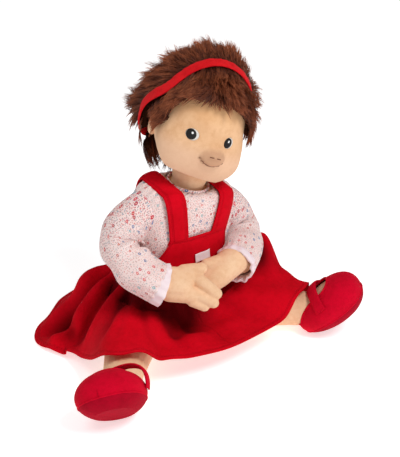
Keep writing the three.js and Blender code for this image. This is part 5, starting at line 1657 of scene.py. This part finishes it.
def skirt_point(s, angle):
    """The skirt's skin, and the painted shade at each place: in the hollows of folds and pleats and
    under the arms and hands.
    """
    spot, lap = skirt_base(s, angle)
    degrees = np.degrees((angle + math.pi) % (2 * math.pi) - math.pi)
    longer = heading_hump(degrees, *LONGER_HEM) * smoothstep(s, 0.55, 1)
    spot = spot + np.stack([np.sin(angle), -np.cos(angle), 0 * angle], -1) * longer[..., None]
    spot = over_legs(spot, s)
    normal = unit(np.cross(np.gradient(spot, axis=1), np.gradient(spot, axis=0)))
    normal = normal * np.where(normal[..., 2:3] < 0, -1, 1)
    gathers = 1.5 * np.sin(angle * 62 + 2 * np.sin(angle * 5))
    gathers = gathers * np.exp(-s / 0.12) * smoothstep(s, 0, 0.04)
    rise = 0 * s
    window = smoothstep(s, 0.03, 0.2) * (1 - smoothstep(s, 0.7, 0.98))
    # The painted shade gathers here, from the hollows of the pleats and from the listed shaded places
    deep = 0 * rise
    for heading, width, tall, drift in PLEATS:
        apart = (degrees - heading - 20 * drift * (s - 0.5) + 180) % 360 - 180
        fold = window * tall * np.exp(-((apart / width) ** 2))
        rise, deep = rise + fold, deep + np.maximum(-fold, 0) / PLEAT_FULL_SHADE
    for place, half, tall in DENTS:
        rise = rise + tall * patch_at(spot, place, half)
    for place, half, amount in SHADES:
        deep = deep + amount * patch_at(spot, place, half)
    rise = rise + heading_hump(degrees, *REAR_SWELL) * hump(s, 0.3, 0.16)
    ripple = 0.9 * np.sin(angle * 37 + 3 * s) * s * (1 - s) * 2 * (1 - 0.6 * lap)
    moved = gathers + (rise + ripple) * smoothstep(s, 0.0, 0.18)
    spot = over_legs(clear_of_torso(spot + normal * moved[..., None]), s)
    for place, half, tall in PUFFS:
        spot[..., 2] += tall * patch_at(spot, place, half)
    hem_lift = sum(heading_hump(degrees, *one) for one in HEM_LIFTS)
    spot[..., 2] += hem_lift * smoothstep(s, 0.6, 1)
    return spot, np.clip(deep, 0, 1)


SKIRT_ROWS, SKIRT_COLUMNS, SKIRT_THICK = 100, 281, 2.0
print("skirt drawn on", SKIRT_ROWS, "rows and", SKIRT_COLUMNS, "columns a side")

# %% [markdown]
# The skirt is sewn from two panels that meet at the middle. A roll of velour hides the seam at the
# waist.

# %% Skirt panels
# Painted shade of the skirt: a dark red laid over the velour as strongly as the points' shade attribute
# asks
SKIRT_PAINTED_SHADE = ("deep", paint(60, 0, 4), 0.86)
red_hemmed = edge_finish("red_velour_hemmed", RED, RED_SHADE, RED_BLOOM, 7, (SKIRT_PAINTED_SHADE,))
for name, side in SIDES.items():
    s = np.linspace(0, 1, SKIRT_ROWS)[:, None] + np.zeros((1, SKIRT_COLUMNS))
    angle = np.linspace(0, side * math.pi, SKIRT_COLUMNS)[None, :] + np.zeros((SKIRT_ROWS, 1))
    skirt_grid, deep = skirt_point(s, angle)
    drop = np.cumsum(np.linalg.norm(np.diff(skirt_grid[::-1], axis=0), axis=2), axis=0) / 1000
    v = np.concatenate([np.zeros((1, SKIRT_COLUMNS)), drop])[::-1]
    u = np.concatenate([[0], np.cumsum(np.linalg.norm(np.diff(skirt_grid[-1], axis=0), axis=1))]) / 1000
    skirt = grid_object(f"skirt_{name}_soft", skirt_grid, closed=False,
                        uv=np.stack([np.broadcast_to(u[None, :], v.shape), v], -1))
    # The painted shade from the folds and from under the arms and hands is kept on the points
    layer = skirt.data.attributes.new("deep", "FLOAT", "POINT")
    layer.data.foreach_set("value", deep.astype(np.float32).ravel())
    thicken(face_outward(skirt), SKIRT_THICK)
    dress(skirt, red_hemmed, None, "dress", f"skirt_{name}")
    cloth_declared(skirt, skirt_grid)
    seam = (on_body(np.array([0, 0, BODICE_FOOT])) + SHIFT) / 1000
    start = (seam[0] + side * 0.012, seam[1], 0.05)
    seam[0] + side * 0.17
    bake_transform(skirt)
WAIST_STEPS, WAIST_ROLL_HALF = 144, 2.3
waist_angle = np.arange(WAIST_STEPS) * math.pi / (WAIST_STEPS // 2)
waist_level = np.full(WAIST_STEPS, BODICE_FOOT - 0.6)
seam_line = torso_point(waist_level, waist_angle, GAP * 2 + CLOTH * 2 + 0.2)
waist_roll = tube_object("waist_seam", on_body(seam_line), WAIST_ROLL_HALF, 10, True)
dress(waist_roll, red_edged, "torso", "dress")

# %% [markdown]
# ## Floor and light
# The picture was taken on white paper in soft light from the upper left. A pale floor keeps the
# doll's shadow, and a little glow of its own keeps it white. The sky is white to the camera and dimmer
# as a light, because a bright one would wash out the folds.

# %% Floor and lamps
PAPER_HALF, PAPER_GLOW, SKY_LIGHT = 9000, 0.6, 0.3
floor_corners = np.array([(-1, -1, 0), (1, -1, 0), (1, 1, 0), (-1, 1, 0)], float)
floor = mesh_object("floor", floor_corners * PAPER_HALF, [(0, 1, 2, 3)])
paper = Finish("white_paper", roughness=0.95, specular=0.1)
paper.colour(paper.mix(paper.noise(4, 2) * 0.15, (0.93, 0.93, 0.93), (0.9, 0.9, 0.9)))
paper.shader.inputs["Emission Color"].default_value = (1, 1, 1, 1)
paper.shader.inputs["Emission Strength"].default_value = PAPER_GLOW
floor.data.materials.append(paper.material)
world = bpy.data.worlds.new("white_room")
scene.world = world
world.use_nodes = True
tree = world.node_tree
path = tree.nodes.new("ShaderNodeLightPath")
brightness = tree.nodes.new("ShaderNodeMapRange")
brightness.inputs["To Min"].default_value = SKY_LIGHT
tree.links.new(path.outputs["Is Camera Ray"], brightness.inputs["Value"])
tree.links.new(brightness.outputs[0], tree.nodes["Background"].inputs["Strength"])
tree.nodes["Background"].inputs["Color"].default_value = (1, 1, 1, 1)


def lamp(name, heading, above, distance, size, watts):
    """A round lamp that faces the doll; heading and height above the floor are in degrees."""
    data = bpy.data.lights.new(name, "AREA")
    data.shape, data.size, data.energy = "DISK", size, watts
    one = bpy.data.objects.new(name, data)
    a, e = math.radians(heading), math.radians(above)
    way = Vector((math.sin(a) * math.cos(e), -math.cos(a) * math.cos(e), math.sin(e)))
    middle = Vector(SHIFT / 1000) + Vector((0, 0, 0.2))
    one.location = middle + way * distance
    one.rotation_mode = "QUATERNION"
    one.rotation_quaternion = way.to_track_quat("Z", "Y")
    scene.collection.objects.link(one)


lamp("window", 5, 50, 2.4, 0.9, 31)
lamp("ceiling", -100, 58, 2.6, 1.6, 12.5)
print("lamps placed")
